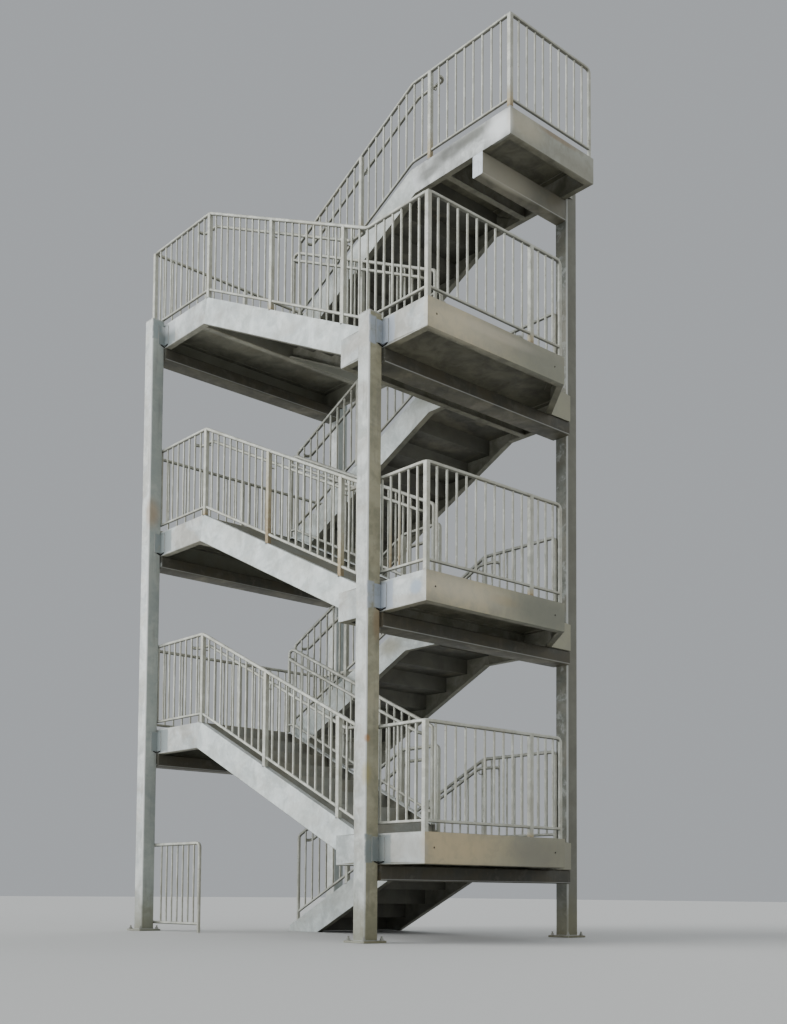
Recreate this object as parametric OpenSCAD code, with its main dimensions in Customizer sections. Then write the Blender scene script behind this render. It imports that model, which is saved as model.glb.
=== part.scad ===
// Galvanised switchback fire escape stair, in millimetres, standing on z = 0.
// X runs along the flights, Y from the open front lane to the wall lane, Z up.

/* [Storeys and flights] */
// Height of one riser
riser = 177.8; // [150:0.1:190]
// Depth of one tread along the flight
going = 366; // [280:1:400]
// Risers in each front lane flight
front_risers = 8; // [6:1:9]
// Risers in each upper back lane flight
back_risers = 7; // [6:1:8]
// Risers in the two lowest back lane flights
low_risers = 6; // [5:1:7]

/* [Plan] */
// Distance between the outer faces of the front and back channels
frame_width = 2850; // [2400:10:3200]
// Gap between the two inner stringer lines
well_gap = 44; // [20:2:120]
// Distance from the low kink of a front flight to the landing's outer end
landing_reach = 920; // [700:10:1200]
// Length of the half landings from their end to the front flight's kink
half_reach = 1282; // [1150:2:1600]
// Distance from the low kink of a back flight to that same end
back_low_reach = 1010; // [950:2:1200]
// Width of the landing edge before it is cut off towards the wall
side_reach = 2022; // [1700:2:2400]
// Run of the slanted wall edge along the flights
cut_x = 600; // [400:10:800]
// Run of the slanted wall edge across the flights
cut_y = 498; // [300:2:700]
// How far the top landing stops short of the landings below
top_setback = 257; // [0:1:400]
// How far the top flight stands back from the back flights below it
top_flight_set = 250; // [0:10:260]
// Distance from the landing's outer end to the right columns
column_set_right = 648; // [560:1:720]
// Distance from the half landings' end to the left columns
column_set_left = 138; // [110:1:260]
// Distance from the low kink of a front flight back to its header
header_right = 380; // [300:1:420]
// Distance from the high kink of a front flight on to its header
header_left = 117; // [80:1:160]
// Distance from the low kink of the ground flight to its cut foot
toe_run = 155; // [120:1:200]

/* [Steel sections] */
// Depth of the edge channels and stringers
channel_d = 305; // [200:1:380]
// Flange width of the channels
flange_w = 75; // [50:1:100]
// Web thickness of the channels
web_t = 10; // [6:0.5:14]
// Flange thickness of the channels
flange_t = 12; // [8:0.5:16]
// Side of the square columns
column_w = 178; // [150:1:220]
// Wall thickness of the square columns
column_t = 10; // [6:0.5:16]
// Rise of the columns above the highest channel that they carry
column_rise = 45; // [0:5:90]
// Wide side of the cross beams
beam_w = 254; // [150:1:300]
// Narrow side of the cross beams
beam_n = 152; // [100:1:200]
// Wall thickness of the cross beams
beam_t = 10; // [6:0.5:14]
// Thickness of the landing plates
deck_t = 6; // [5:1:12]
// Clearance between the posts and the landing plates
plate_clear = 2; // [1:0.5:5]
// Thickness of the folded step plate
step_t = 5; // [4:0.5:8]

/* [Guards] */
// Height of the guards above the walking surface
guard_h = 1067; // [900:1:1200]
// Outer diameter of the guard rails
rail_d = 42; // [34:1:50]
// Side of the guard posts
post_w = 50; // [40:1:64]
// Side of the pickets
picket_w = 19; // [12:1:25]
// Widest spacing of the pickets
picket_max = 137; // [110:1:140]
// Height of the bottom rail's centre above the channel
low_rail_h = 104; // [70:1:140]
// Outer diameter of the bottom rails
low_rail_d = 33; // [26:1:42]
// Outer diameter of the handrails
handrail_d = 38; // [32:1:45]
// Drop of the handrail below the top rail
handrail_drop = 127; // [80:1:180]
// Offset of the handrail's centre from the guard
handrail_off = 92; // [70:1:110]
// Level length of the handrails past the kinks
hand_ext = 305; // [200:5:400]
// Diameter of the handrail brackets
bracket_d = 14; // [10:1:18]
// Distance of the side guard's post from the landing's wall end
side_post_set = 512; // [400:1:700]
// Distance of the side guard's bent end from the landing's wall end
side_end_set = 45; // [30:1:120]
// Gap between the outer back guards' bent ends and the right columns' middle
column_clear = 73; // [60:1:110]
// Distance of the top guard's middle post from the top landing's end
top_post_set = 1256; // [1140:1:1258]
// Distance of the ground flight's guards from its low kink
foot_gap = 300; // [260:1:420]

/* [Fixings] */
// Side of the base plates
base_w = 300; // [260:5:360]
// Thickness of the base plates
base_t = 20; // [12:1:30]
// Spacing of the anchor holes
hole_pitch = 230; // [200:5:270]
// Diameter of the anchor holes
hole_d = 22; // [16:1:28]
// Leg of the clip angles that tie channels to columns
clip_w = 89; // [60:1:100]
// Height of the clip angles
clip_h = 235; // [180:5:260]
// Thickness of the clip angles
clip_t = 10; // [8:1:14]

/* [Hidden] */
slope = riser / going;
theta = atan(slope);
half_tan = tan(theta / 2);
chan_v = channel_d / cos(theta);
flange_v = flange_t / cos(theta);
toe_lead = deck_t / slope;
plate_in = post_w + plate_clear;
plate_cut = plate_in * cut_y / cut_x;
nose_drop = 20;
kink_lead = (riser + nose_drop + deck_t) / slope;
total_len = landing_reach + front_risers * going + half_reach;
xr = total_len / 2;
xl = -xr;
yo = frame_width / 2;
yi = well_gap / 2;
x_low_f = xr - landing_reach;
x_up_f = x_low_f - front_risers * going;
x_low_b = xl + back_low_reach;
x_low_top = x_low_b - top_flight_set;
x_up_top = x_low_top + back_risers * going;
x_head_r = x_low_f - header_right;
x_head_l = x_up_f - header_left;
x_side_end = x_low_b + header_right;
x_cut = xr - cut_x;
y_side = side_reach - yo;
y_cut = y_side + cut_y;
x_top = xr - top_setback;
col_x_r = xr - column_set_right - column_w / 2;
col_x_l = xl + column_set_left + column_w / 2;
col_y = yo + column_w / 2;
level_1 = low_risers * riser;
half_1 = level_1 + front_risers * riser;
level_2 = half_1 + low_risers * riser;
half_2 = level_2 + front_risers * riser;
level_3 = half_2 + back_risers * riser;
half_3 = level_3 + front_risers * riser;
level_4 = half_3 + back_risers * riser;
rail_r = rail_d / 2;
rail_c = guard_h + deck_t - rail_r;
inset = post_w / 2;
y_rail = yo - inset;
y_in = yi + inset;
bracket_drop = handrail_d / 2 + 43;
x_toe = x_low_b + toe_run;
x_guard_end = col_x_r - column_clear;
hand_c = rail_c + rail_r - handrail_drop - handrail_d / 2;
x_first_f = x_low_f - kink_lead;
x_last_f = x_first_f - (front_risers - 1) * going;
x_first_b = x_low_b + kink_lead;
x_first_top = x_low_top + kink_lead;
kink_back = (nose_drop + deck_t) / slope;

function back_up(n) = x_low_b + n * going;

// Plain helpers

// Extrudes an X-Z outline from y0 to y1
module slab(y0, y1) {
    translate([0, y1, 0])
        rotate([90, 0, 0])
            linear_extrude(y1 - y0)
                children();
}

// Extrudes an X-Z outline inwards from a lane's outer plane
module inward(y, dir, t) {
    slab(min(y, y + dir * t), max(y, y + dir * t))
        children();
}

// Round bar between two points
module rod(p, q, r) {
    d = q - p;
    len = norm(d);
    translate(p)
        rotate([0, acos(d[2] / len), atan2(d[1], d[0])])
            cylinder(h = len, r = r, $fn = 48);
}

// Round elbow at a bend of two bars
module elbow(p, r) {
    translate(p)
        sphere(r = r * 1.06, $fn = 48);
}

// Round bar along [x, z] points in the plane y, raised by h, elbows at its bends
module rail(run, y, h, r) {
    last = len(run) - 1;
    for (i = [0 : last - 1]) {
        p = [run[i][0], y, run[i][1] + h];
        q = [run[i + 1][0], y, run[i + 1][1] + h];
        u = (q - p) / norm(q - p) * r * 0.27;
        rod(i > 0 ? p + u : p, i < last - 1 ? q - u : q, r);
        if (i > 0)
            elbow(p, r);
    }
}

// Columns

module base_plate() {
    difference() {
        translate([-base_w / 2, -base_w / 2, 0])
            cube([base_w, base_w, base_t]);
        for (sx = [-1, 1])
            for (sy = [-1, 1])
                translate([sx * hole_pitch / 2, sy * hole_pitch / 2, -1])
                    cylinder(h = base_t + 2, r = hole_d / 2, $fn = 48);
    }
}

// Square tube on its base plate, closed by a cap plate
module column(x, y, carried) {
    top = carried + column_rise;
    translate([x, y, 0]) {
        base_plate();
        difference() {
            translate([-column_w / 2, -column_w / 2, base_t])
                cube([column_w, column_w, top - base_t]);
            translate([-column_w / 2 + column_t, -column_w / 2 + column_t, base_t])
                cube([column_w - 2 * column_t, column_w - 2 * column_t, top - base_t - column_t]);
        }
    }
}

// Cross beams

// Closed box beam along Y between y0 and y1
module box_beam(x, y0, y1, z_top, w, h) {
    translate([x - w / 2, y0, z_top - h])
        difference() {
            cube([w, y1 - y0, h]);
            translate([beam_t, beam_t, beam_t])
                cube([w - 2 * beam_t, y1 - y0 - 2 * beam_t, h - 2 * beam_t]);
        }
}

// Channels

// Level channel along X with square ends
module channel_x(x0, x1, y, dir, z) {
    inward(y, dir, web_t)
        polygon([[x0, z], [x1, z], [x1, z - channel_d], [x0, z - channel_d]]);
    inward(y, dir, flange_w)
        polygon([[x0, z], [x1, z], [x1, z - flange_t], [x0, z - flange_t]]);
    inward(y, dir, flange_w)
        polygon([[x0, z - channel_d + flange_t], [x1, z - channel_d + flange_t],
            [x1, z - channel_d], [x0, z - channel_d]]);
}

// Level channel whose end at xk is cut to the mitre of a flight falling to side s
module channel_mitred(x0, xk, y, dir, z, s) {
    function mx(h) = xk - s * h * half_tan;
    inward(y, dir, web_t)
        polygon([[x0, z], [xk, z], [mx(channel_d), z - channel_d], [x0, z - channel_d]]);
    inward(y, dir, flange_w)
        polygon([[x0, z], [xk, z], [mx(flange_t), z - flange_t], [x0, z - flange_t]]);
    inward(y, dir, flange_w)
        polygon([[x0, z - channel_d + flange_t], [mx(channel_d - flange_t), z - channel_d + flange_t],
            [mx(channel_d), z - channel_d], [x0, z - channel_d]]);
}

// Channel along Y whose web faces away from the landing
module channel_y(x, dir, y0, y1, z) {
    module bar(t, z0, h)
        translate([min(x, x + dir * t), y0, z0])
            cube([t, y1 - y0, h]);
    bar(web_t, z - channel_d, channel_d);
    bar(flange_w, z - flange_t, flange_t);
    bar(flange_w, z - channel_d, flange_t);
}

// Clip angle between a column's side and a channel's web
module clip_angle(x, sx, sy, z) {
    y = sy * yo;
    z0 = z - channel_d + 35;
    translate([sx > 0 ? x : x - clip_w, sy > 0 ? y : y - clip_t, z0])
        cube([clip_w, clip_t, clip_h]);
    translate([sx > 0 ? x : x - clip_t, sy > 0 ? y : y - clip_w, z0])
        cube([clip_t, clip_w, clip_h]);
}

// Landings

// Edge frame and plate of a right landing, with n risers arriving in the back lane
module right_landing(level, n) {
    z = level - deck_t;
    xb = back_up(n);
    channel_x(x_head_r, xr - web_t, -yo, 1, z);
    wall_edge(web_t, z - channel_d, channel_d);
    wall_edge(flange_w, z - flange_t, flange_t);
    wall_edge(flange_w, z - channel_d, flange_t);
    channel_mitred(x_cut - web_t, xb, yo, -1, z, -1);
    channel_y(x_head_r, 1, -yo + web_t, yo - web_t, z);
    translate([0, 0, z])
        linear_extrude(deck_t)
            polygon([[x_first_f, -yo + plate_in], [xr - plate_in, -yo + plate_in],
                [xr - plate_in, y_side + plate_cut], [x_cut, y_cut], [x_cut, yo - plate_in],
                [xb + kink_back, yo - plate_in], [xb + kink_back, yi + plate_in], [x_head_r, yi + plate_in],
                [x_head_r, -yi - plate_in], [x_first_f, -yi - plate_in]]);
    for (sx = [-1, 1])
        clip_angle(col_x_r + sx * column_w / 2, sx, -1, z);
    clip_angle(col_x_r - column_w / 2, -1, 1, z);
}

// Band of width t along a right landing's end, slanted cut and short wall edge
module wall_edge(t, z, h) {
    k = t * (norm([cut_x, cut_y]) - cut_y) / cut_x;
    translate([0, 0, z])
        linear_extrude(h)
            polygon([[xr, -yo], [xr, y_side], [x_cut, y_cut], [x_cut, yo],
                [x_cut - t, yo], [x_cut - t, y_cut - k], [xr - t, y_side - k], [xr - t, -yo]]);
}

// Top landing, back lane only
module top_landing_frame() {
    z = level_4 - deck_t;
    x_last = x_up_top + kink_back;
    channel_mitred(x_top - web_t, x_up_top, yi, 1, z, -1);
    channel_y(x_top, -1, yi, yo, z);
    channel_mitred(x_top - web_t, x_up_top, yo, -1, z, -1);
    channel_y(x_head_r, 1, yi + web_t, yo - web_t, z);
    translate([0, 0, z])
        linear_extrude(deck_t)
            polygon([[x_last, yi + plate_in], [x_top - plate_in, yi + plate_in],
                [x_top - plate_in, yo], [x_last, yo]]);
    clip_angle(col_x_r - column_w / 2, -1, 1, z);
    clip_angle(col_x_r + column_w / 2, 1, 1, z);
}

// Half landing at the left end, whose back flight's first riser stands at x_first
module half_landing(level, x_first) {
    z = level - deck_t;
    channel_mitred(xl + web_t, x_up_f, -yo, 1, z, 1);
    channel_y(xl, 1, -yo, yo, z);
    channel_x(xl + web_t, x_side_end, yo, -1, z);
    channel_y(x_head_l, -1, -yo + web_t, yo - web_t, z);
    translate([0, 0, z])
        linear_extrude(deck_t)
            polygon([[xl + plate_in, -yo + plate_in], [x_last_f, -yo + plate_in], [x_last_f, -yi - plate_in],
                [x_head_l, -yi - plate_in], [x_head_l, yi + plate_in], [x_first, yi + plate_in],
                [x_first, yo - plate_in], [xl + plate_in, yo - plate_in]]);
    for (sx = [-1, 1])
        for (sy = [-1, 1])
            clip_angle(col_x_l + sx * column_w / 2, sx, sy, z);
}

// Flights

// Top of a stringer that rises to side s from its low kink
function top_at(x, xk, s, z) = z + (x - xk) * s * slope;

// Outer stringer: stands on the landing channel, mitred at the top
module outer_stringer(xk, s, n, z, y, dir, x_cut_low) {
    xu = xk + s * n * going;
    zu = z + n * riser;
    xc = x_cut_low;
    function mx(h) = xu + s * h * half_tan;
    inward(y, dir, web_t)
        polygon([[xk, z], [xu, zu], [mx(channel_d), zu - channel_d],
            [xc, top_at(xc, xk, s, z) - chan_v], [xc, z]]);
    inward(y, dir, flange_w)
        polygon([[xk + s * toe_lead, z + deck_t], [xu, zu], [mx(flange_t), zu - flange_t],
            [xk + s * (toe_lead + flange_v / slope), z + deck_t]]);
    inward(y, dir, flange_w)
        polygon([[xc, top_at(xc, xk, s, z) - chan_v], [xc, top_at(xc, xk, s, z) - chan_v + flange_v],
            [mx(channel_d - flange_t), zu - channel_d + flange_t], [mx(channel_d), zu - channel_d]]);
}

// Inner stringer from one header to the other, level past its top kink
module inner_stringer(xk, s, n, z, y, dir, xc, xe) {
    xu = xk + s * n * going;
    zu = z + n * riser;
    zt = top_at(xc, xk, s, z);
    function mx(h) = xu + s * h * half_tan;
    inward(y, dir, web_t)
        polygon([[xc, zt], [xu, zu], [xe, zu], [xe, zu - channel_d], [mx(channel_d), zu - channel_d],
            [xc, zt - chan_v]]);
    inward(y, dir, flange_w)
        polygon([[xc, zt], [xu, zu], [xe, zu], [xe, zu - flange_t], [mx(flange_t), zu - flange_t],
            [xc, zt - flange_v]]);
    inward(y, dir, flange_w)
        polygon([[xc, zt - chan_v + flange_v], [mx(channel_d - flange_t), zu - channel_d + flange_t],
            [xe, zu - channel_d + flange_t], [xe, zu - channel_d], [mx(channel_d), zu - channel_d],
            [xc, zt - chan_v]]);
}

// Stringer cut upright at xc and mitred to the landing channel at its top kink
module mitred_stringer(xk, s, n, z, y, dir, xc) {
    xu = xk + s * n * going;
    zu = z + n * riser;
    zt = top_at(xc, xk, s, z);
    function mx(h) = xu + s * h * half_tan;
    inward(y, dir, web_t)
        polygon([[xc, zt], [xu, zu], [mx(channel_d), zu - channel_d], [xc, zt - chan_v]]);
    inward(y, dir, flange_w)
        polygon([[xc, zt], [xu, zu], [mx(flange_t), zu - flange_t], [xc, zt - flange_v]]);
    inward(y, dir, flange_w)
        polygon([[xc, zt - chan_v + flange_v], [mx(channel_d - flange_t), zu - channel_d + flange_t],
            [mx(channel_d), zu - channel_d], [xc, zt - chan_v]]);
}

module front_stringers(level) {
    z = level - deck_t;
    outer_stringer(x_low_f, -1, front_risers, z, -yo, 1, x_head_r);
    inner_stringer(x_low_f, -1, front_risers, z, -yi, -1, x_head_r, x_head_l);
}

module back_stringers(level, n) {
    z = level - deck_t;
    outer_stringer(x_low_b, 1, n, z, yo, -1, x_side_end);
    inner_stringer(x_low_b, 1, n, z, yi, 1, x_head_l, x_head_r);
}

module top_stringers() {
    z = half_3 - deck_t;
    outer_stringer(x_low_top, 1, back_risers, z, yo, -1, x_side_end);
    mitred_stringer(x_low_top, 1, back_risers, z, yi, 1, x_head_l);
}

// Lowest flight: its stringers are cut level on the ground
module ground_stringers(n) {
    intersection() {
        union() {
            inner_stringer(x_low_b, 1, n, -deck_t, yi, 1, x_low_b, x_head_r);
            mitred_stringer(x_low_b, 1, n, -deck_t, yo, -1, x_low_b);
        }
        translate([x_toe, -2 * yo, 0])
            cube([total_len, 4 * yo, 2 * level_1]);
    }
}

// Folded plate of n risers, from x0 towards side s, between y0 and y1
module steps(x0, s, n, level, y0, y1, z_start) {
    up = [for (k = [0 : n - 1]) for (j = [0, 1])
        [x0 + s * k * going, j == 0 ? (k == 0 ? level + z_start : level + k * riser)
            : (k == n - 1 ? level + n * riser - deck_t : level + (k + 1) * riser)]];
    down = [for (i = [0 : n - 1]) let (k = n - 1 - i) for (j = [0, 1])
        [x0 + s * (k * going + step_t), j == 0 ? (k == n - 1 ? level + n * riser - deck_t
            : level + (k + 1) * riser - step_t)
            : (k == 0 ? level + z_start : level + k * riser - step_t)]];
    slab(y0, y1)
        polygon(concat(up, down));
}

module front_steps(level) {
    steps(x_first_f, -1, front_risers, level, -yo + web_t, -yi - web_t, -deck_t);
}

module back_steps(x_first, level, n, z_start) {
    steps(x_first, 1, n, level, yi + web_t, yo - web_t, z_start);
}

// Guards

// Height of the channel's top along a run of [x, z] points
function run_z(run, x, i = 0) =
    (i >= len(run) - 2 || x <= run[i + 1][0])
    ? run[i][1] + (run[i + 1][1] - run[i][1]) * (x - run[i][0]) / (run[i + 1][0] - run[i][0])
    : run_z(run, x, i + 1);

// Even spaces of the pickets over a length
function spaces(length) = max(1, ceil(length / picket_max));

// Place of the picket nearest to x between two posts
function near_picket(xa, xb, x) =
    xa + (xb - xa) * min(1, round(spaces(xb - xa) * (x - xa) / (xb - xa)) / spaces(xb - xa));

// Post on the run, its foot cut to the slope there
module guard_post(run, x, y) {
    h = post_w / 2;
    mid = [for (i = [1 : 1 : len(run) - 2]) if (abs(run[i][0] - x) < h) run[i]];
    slab(y - h, y + h)
        polygon(concat([[x - h, run_z(run, x - h)]], mid, [[x + h, run_z(run, x + h)],
            [x + h, run_z(run, x) + rail_c], [x - h, run_z(run, x) + rail_c]]));
}

// Top rail bent down to the channel at the end of a run
module pipe_post(run, x, y) {
    m = rail_r + 1;
    z = run_z(run, x);
    elbow([x, y, z + rail_c], rail_r);
    intersection() {
        translate([x, y, z - m])
            cylinder(h = rail_c + m, r = rail_r * 0.97, $fn = 48);
        slab(y - m, y + m)
            polygon([[x - m, run_z(run, x - m)], [x + m, run_z(run, x + m)],
                [x + m, z + rail_c + m], [x - m, z + rail_c + m]]);
    }
}

// Corner post whose top rail turns towards side s in y
module corner_post(run, x, y, s) {
    z = run_z(run, x) + rail_c;
    guard_post(run, x, y);
    elbow([x, y, z], rail_r);
    rod([x, y, z], [x, y + s * post_w / 2, z], rail_r * 0.97);
}

// Pickets between two posts
module pickets(run, xa, xb, y) {
    n = spaces(xb - xa);
    for (i = [1 : 1 : n - 1]) {
        x = xa + (xb - xa) * i / n;
        translate([x - picket_w / 2, y - picket_w / 2, run_z(run, x) + low_rail_h])
            cube([picket_w, picket_w, rail_c - low_rail_h]);
    }
}

// Guard in one plane. Its ends are open (0), bent down (2) or corners turning to -1 or 1
module guard_run(run, y, posts, ends) {
    last = len(run) - 1;
    x0 = run[0][0];
    x1 = run[last][0];
    rail(run, y, low_rail_h, low_rail_d / 2);
    rail(run, y, rail_c, rail_r);
    for (i = [0, 1]) {
        x = i == 0 ? x0 : x1;
        if (ends[i] == 2)
            pipe_post(run, x, y);
        if (abs(ends[i]) == 1)
            corner_post(run, x, y, ends[i]);
    }
    for (x = posts)
        guard_post(run, x, y);
    marks = concat([x0], posts, [x1]);
    for (i = [0 : len(marks) - 2])
        pickets(run, marks[i], marks[i + 1], y);
}

// Handrail on brackets beside a guard, both ends turned back to the guard
module handrail(run, y, side, brackets) {
    last = len(run) - 1;
    yh = y + side * handrail_off;
    r = handrail_d / 2;
    rail(run, yh, hand_c, r);
    for (i = [0, last]) {
        p = [run[i][0], yh, run[i][1] + hand_c];
        elbow(p, r);
        rod(p, p - [0, side * handrail_off, 0], r * 0.97);
    }
    for (x = brackets) {
        z = run_z(run, x) + hand_c;
        rod([x, y, z - bracket_drop], [x, yh + side * bracket_d * 0.7, z - bracket_drop], bracket_d / 2);
        rod([x, yh, z - bracket_drop], [x, yh, z], bracket_d * 0.43);
    }
}

// Outer guard of the front lane: half landing, flight and right landing
module front_guard(level) {
    z = level - deck_t;
    zu = z + front_risers * riser;
    x0 = xl + inset;
    x1 = xr - inset;
    bay = (x1 - x_up_f) / 3;
    run = [[x0, zu], [x_up_f, zu], [x_low_f, z], [x1, z]];
    posts = [x_up_f, x_up_f + bay, x_up_f + 2 * bay];
    guard_run(run, -y_rail, posts, [1, 1]);
    xa = near_picket(x0, x_up_f, x_up_f - hand_ext);
    xk = x_low_f - going;
    xb = near_picket(posts[2], x1, xk + hand_ext);
    handrail([[xa, zu], [x_up_f, zu], [xk, z + riser], [xb, z + riser]], -y_rail, 1, posts);
}

// Outer guard of the back lane; on the top flight it stops at the landing
module back_guard(level, n, top) {
    z = level - deck_t;
    zu = z + n * riser;
    xa = top ? x_low_top : x_low_b;
    xb = top ? x_up_top : back_up(n);
    x0 = xl + inset;
    x1 = top ? xb : x_guard_end;
    bay = (xb - xa) / 2;
    run = top ? [[x0, z], [xa, z], [xb, zu]] : [[x0, z], [xa, z], [xb, zu], [x1, zu]];
    posts = top ? [xa, xa + bay] : [xa, xa + bay, xb];
    guard_run(run, y_rail, posts, [-1, 2]);
    xk = xa + going;
    xe = top ? xb : near_picket(xb, x1, xb + hand_ext);
    low = [[xk - hand_ext, z + riser], [xk, z + riser], [xb, zu]];
    handrail(top ? low : concat(low, [[xe, zu]]), y_rail, -1, [posts[1], xb]);
}

// Outer guard of the ground flight, from its foot to the first landing
module ground_back_guard(n) {
    z = -deck_t;
    zu = z + n * riser;
    xb = back_up(n);
    x0 = x_low_b + foot_gap;
    bay = (xb - x0) / 2;
    run = [[x0, z + foot_gap * slope], [xb, zu], [x_guard_end, zu]];
    guard_run(run, y_rail, [x0 + bay, xb], [2, 2]);
    xa = near_picket(x0, x0 + bay, x0 + going);
    xe = near_picket(xb, x_guard_end, xb + hand_ext);
    handrail([[xa, run_z(run, xa)], [xb, zu], [xe, zu]], y_rail, -1, [x0 + bay, xb]);
}

// Guard along Y, drawn along X and turned
module cross_guard(x, y0, y1, level, posts, ends) {
    translate([x, 0, 0])
        rotate([0, 0, 90])
            guard_run([[y0, level - deck_t], [y1, level - deck_t]], 0, posts, ends);
}

// Inner guard of a front flight
module inner_front(level) {
    z = level - deck_t;
    zu = z + front_risers * riser;
    x0 = x_head_l + inset;
    x1 = x_head_r - inset;
    z1 = top_at(x1, x_low_f, -1, z);
    bay = (x1 - x_up_f) / 2;
    run = [[x0, zu], [x_up_f, zu], [x1, z1]];
    guard_run(run, -y_in, [x_up_f + bay], [2, 2]);
    xe = near_picket(x_up_f + bay, x1, x1 - going / 2);
    handrail([[x_up_f, zu], [xe, run_z(run, xe)]], -y_in, -1, [x_up_f + bay]);
}

// Inner guard of a back flight and the landing above it
module inner_back(level, n, x0) {
    z = level - deck_t;
    zu = z + n * riser;
    xb = back_up(n);
    x1 = x_head_r - inset;
    mid = (x0 + xb) / 2;
    run = [[x0, top_at(x0, x_low_b, 1, z)], [xb, zu], [x1, zu]];
    guard_run(run, y_in, [mid, xb], [2, 2]);
    xa = near_picket(x0, mid, x0 + going / 2);
    xe = near_picket(xb, x1, xb + hand_ext);
    handrail([[xa, run_z(run, xa)], [xb, zu], [xe, zu]], y_in, 1, [mid, xb]);
}

// Inner guard of the top flight and the top landing, its last post past the kink
module inner_top() {
    z = half_3 - deck_t;
    zu = level_4 - deck_t;
    x0 = x_head_l + inset;
    x1 = x_top - inset;
    xp = x_top - top_post_set;
    mid = (x0 + xp) / 2;
    run = [[x0, top_at(x0, x_low_top, 1, z)], [x_up_top, zu], [x1, zu]];
    guard_run(run, y_in, [mid, xp], [2, 1]);
    xa = near_picket(x0, mid, x0 + going / 2);
    xe = near_picket(xp, x1, xp + hand_ext / 2);
    handrail([[xa, run_z(run, xa)], [x_up_top, zu], [xe, zu]], y_in, 1, [mid, xp]);
}

// Parts

module column_a() { color([0.66, 0.67, 0.66]) column(col_x_l, -col_y, half_3 - deck_t); }
module column_b() { color([0.66, 0.67, 0.66]) column(col_x_r, -col_y, level_3 - deck_t); }
module column_c() { color([0.66, 0.67, 0.66]) column(col_x_r, col_y, level_4 - deck_t); }
module column_d() { color([0.66, 0.67, 0.66]) column(col_x_l, col_y, half_3 - deck_t); }

module cross_beams_right() {
    color([0.62, 0.62, 0.6])
        for (l = [level_1, level_2, level_3])
            box_beam(col_x_r, -yo, yo, l - deck_t - channel_d, beam_w, beam_n);
}

module cross_beams_left() {
    color([0.62, 0.62, 0.6])
        for (l = [half_1, half_2, half_3])
            box_beam(col_x_l, -yo, yo, l - deck_t - channel_d, beam_w, beam_n);
}

module top_cross_beam() {
    color([0.62, 0.62, 0.6])
        box_beam(col_x_r, yi, yo, level_4 - deck_t - channel_d, beam_n, beam_w);
}

module landing_1() { color([0.68, 0.68, 0.66]) right_landing(level_1, low_risers); }
module landing_2() { color([0.68, 0.68, 0.66]) right_landing(level_2, low_risers); }
module landing_3() { color([0.68, 0.68, 0.66]) right_landing(level_3, back_risers); }
module top_landing() { color([0.68, 0.68, 0.66]) top_landing_frame(); }
module half_landing_1() { color([0.68, 0.68, 0.66]) half_landing(half_1, x_first_b); }
module half_landing_2() { color([0.68, 0.68, 0.66]) half_landing(half_2, x_first_b); }
module half_landing_3() { color([0.68, 0.68, 0.66]) half_landing(half_3, x_first_top); }

module stringers_1() { color([0.7, 0.71, 0.7]) ground_stringers(low_risers); }
module stringers_2() { color([0.7, 0.71, 0.7]) front_stringers(level_1); }
module stringers_3() { color([0.7, 0.71, 0.7]) back_stringers(half_1, low_risers); }
module stringers_4() { color([0.7, 0.71, 0.7]) front_stringers(level_2); }
module stringers_5() { color([0.7, 0.71, 0.7]) back_stringers(half_2, back_risers); }
module stringers_6() { color([0.7, 0.71, 0.7]) front_stringers(level_3); }
module stringers_7() { color([0.7, 0.71, 0.7]) top_stringers(); }

module steps_1() { color([0.6, 0.6, 0.58]) back_steps(x_first_b, 0, low_risers, 0); }
module steps_2() { color([0.6, 0.6, 0.58]) front_steps(level_1); }
module steps_3() { color([0.6, 0.6, 0.58]) back_steps(x_first_b, half_1, low_risers, -deck_t); }
module steps_4() { color([0.6, 0.6, 0.58]) front_steps(level_2); }
module steps_5() { color([0.6, 0.6, 0.58]) back_steps(x_first_b, half_2, back_risers, -deck_t); }
module steps_6() { color([0.6, 0.6, 0.58]) front_steps(level_3); }
module steps_7() { color([0.6, 0.6, 0.58]) back_steps(x_first_top, half_3, back_risers, -deck_t); }

module front_guard_1() { color([0.72, 0.73, 0.72]) front_guard(level_1); }
module front_guard_2() { color([0.72, 0.73, 0.72]) front_guard(level_2); }
module front_guard_3() { color([0.72, 0.73, 0.72]) front_guard(level_3); }
module back_guard_1() { color([0.72, 0.73, 0.72]) ground_back_guard(low_risers); }
module back_guard_2() { color([0.72, 0.73, 0.72]) back_guard(half_1, low_risers, false); }
module back_guard_3() { color([0.72, 0.73, 0.72]) back_guard(half_2, back_risers, false); }
module back_guard_4() { color([0.72, 0.73, 0.72]) back_guard(half_3, back_risers, true); }

module end_guards() {
    color([0.72, 0.73, 0.72])
        for (l = [half_1, half_2, half_3])
            cross_guard(xl + inset, inset - y_rail, y_rail - inset, l, [0], [0, 0]);
}

module side_guards() {
    color([0.72, 0.73, 0.72])
        for (l = [level_1, level_2, level_3])
            cross_guard(xr - inset, inset - y_rail, y_side - side_end_set, l, [y_side - side_post_set], [0, 2]);
}

module top_side_guard() {
    color([0.72, 0.73, 0.72])
        cross_guard(x_top - inset, y_in + inset, yo - side_end_set, level_4, [], [0, 2]);
}

module inner_guards_1() { color([0.72, 0.73, 0.72]) inner_back(0, low_risers, x_low_b + foot_gap); }
module inner_guards_2() {
    color([0.72, 0.73, 0.72]) {
        inner_front(level_1);
        inner_back(half_1, low_risers, x_head_l + inset);
    }
}
module inner_guards_3() {
    color([0.72, 0.73, 0.72]) {
        inner_front(level_2);
        inner_back(half_2, back_risers, x_head_l + inset);
    }
}
module inner_guards_4() {
    color([0.72, 0.73, 0.72]) {
        inner_front(level_3);
        inner_top();
    }
}

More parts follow.
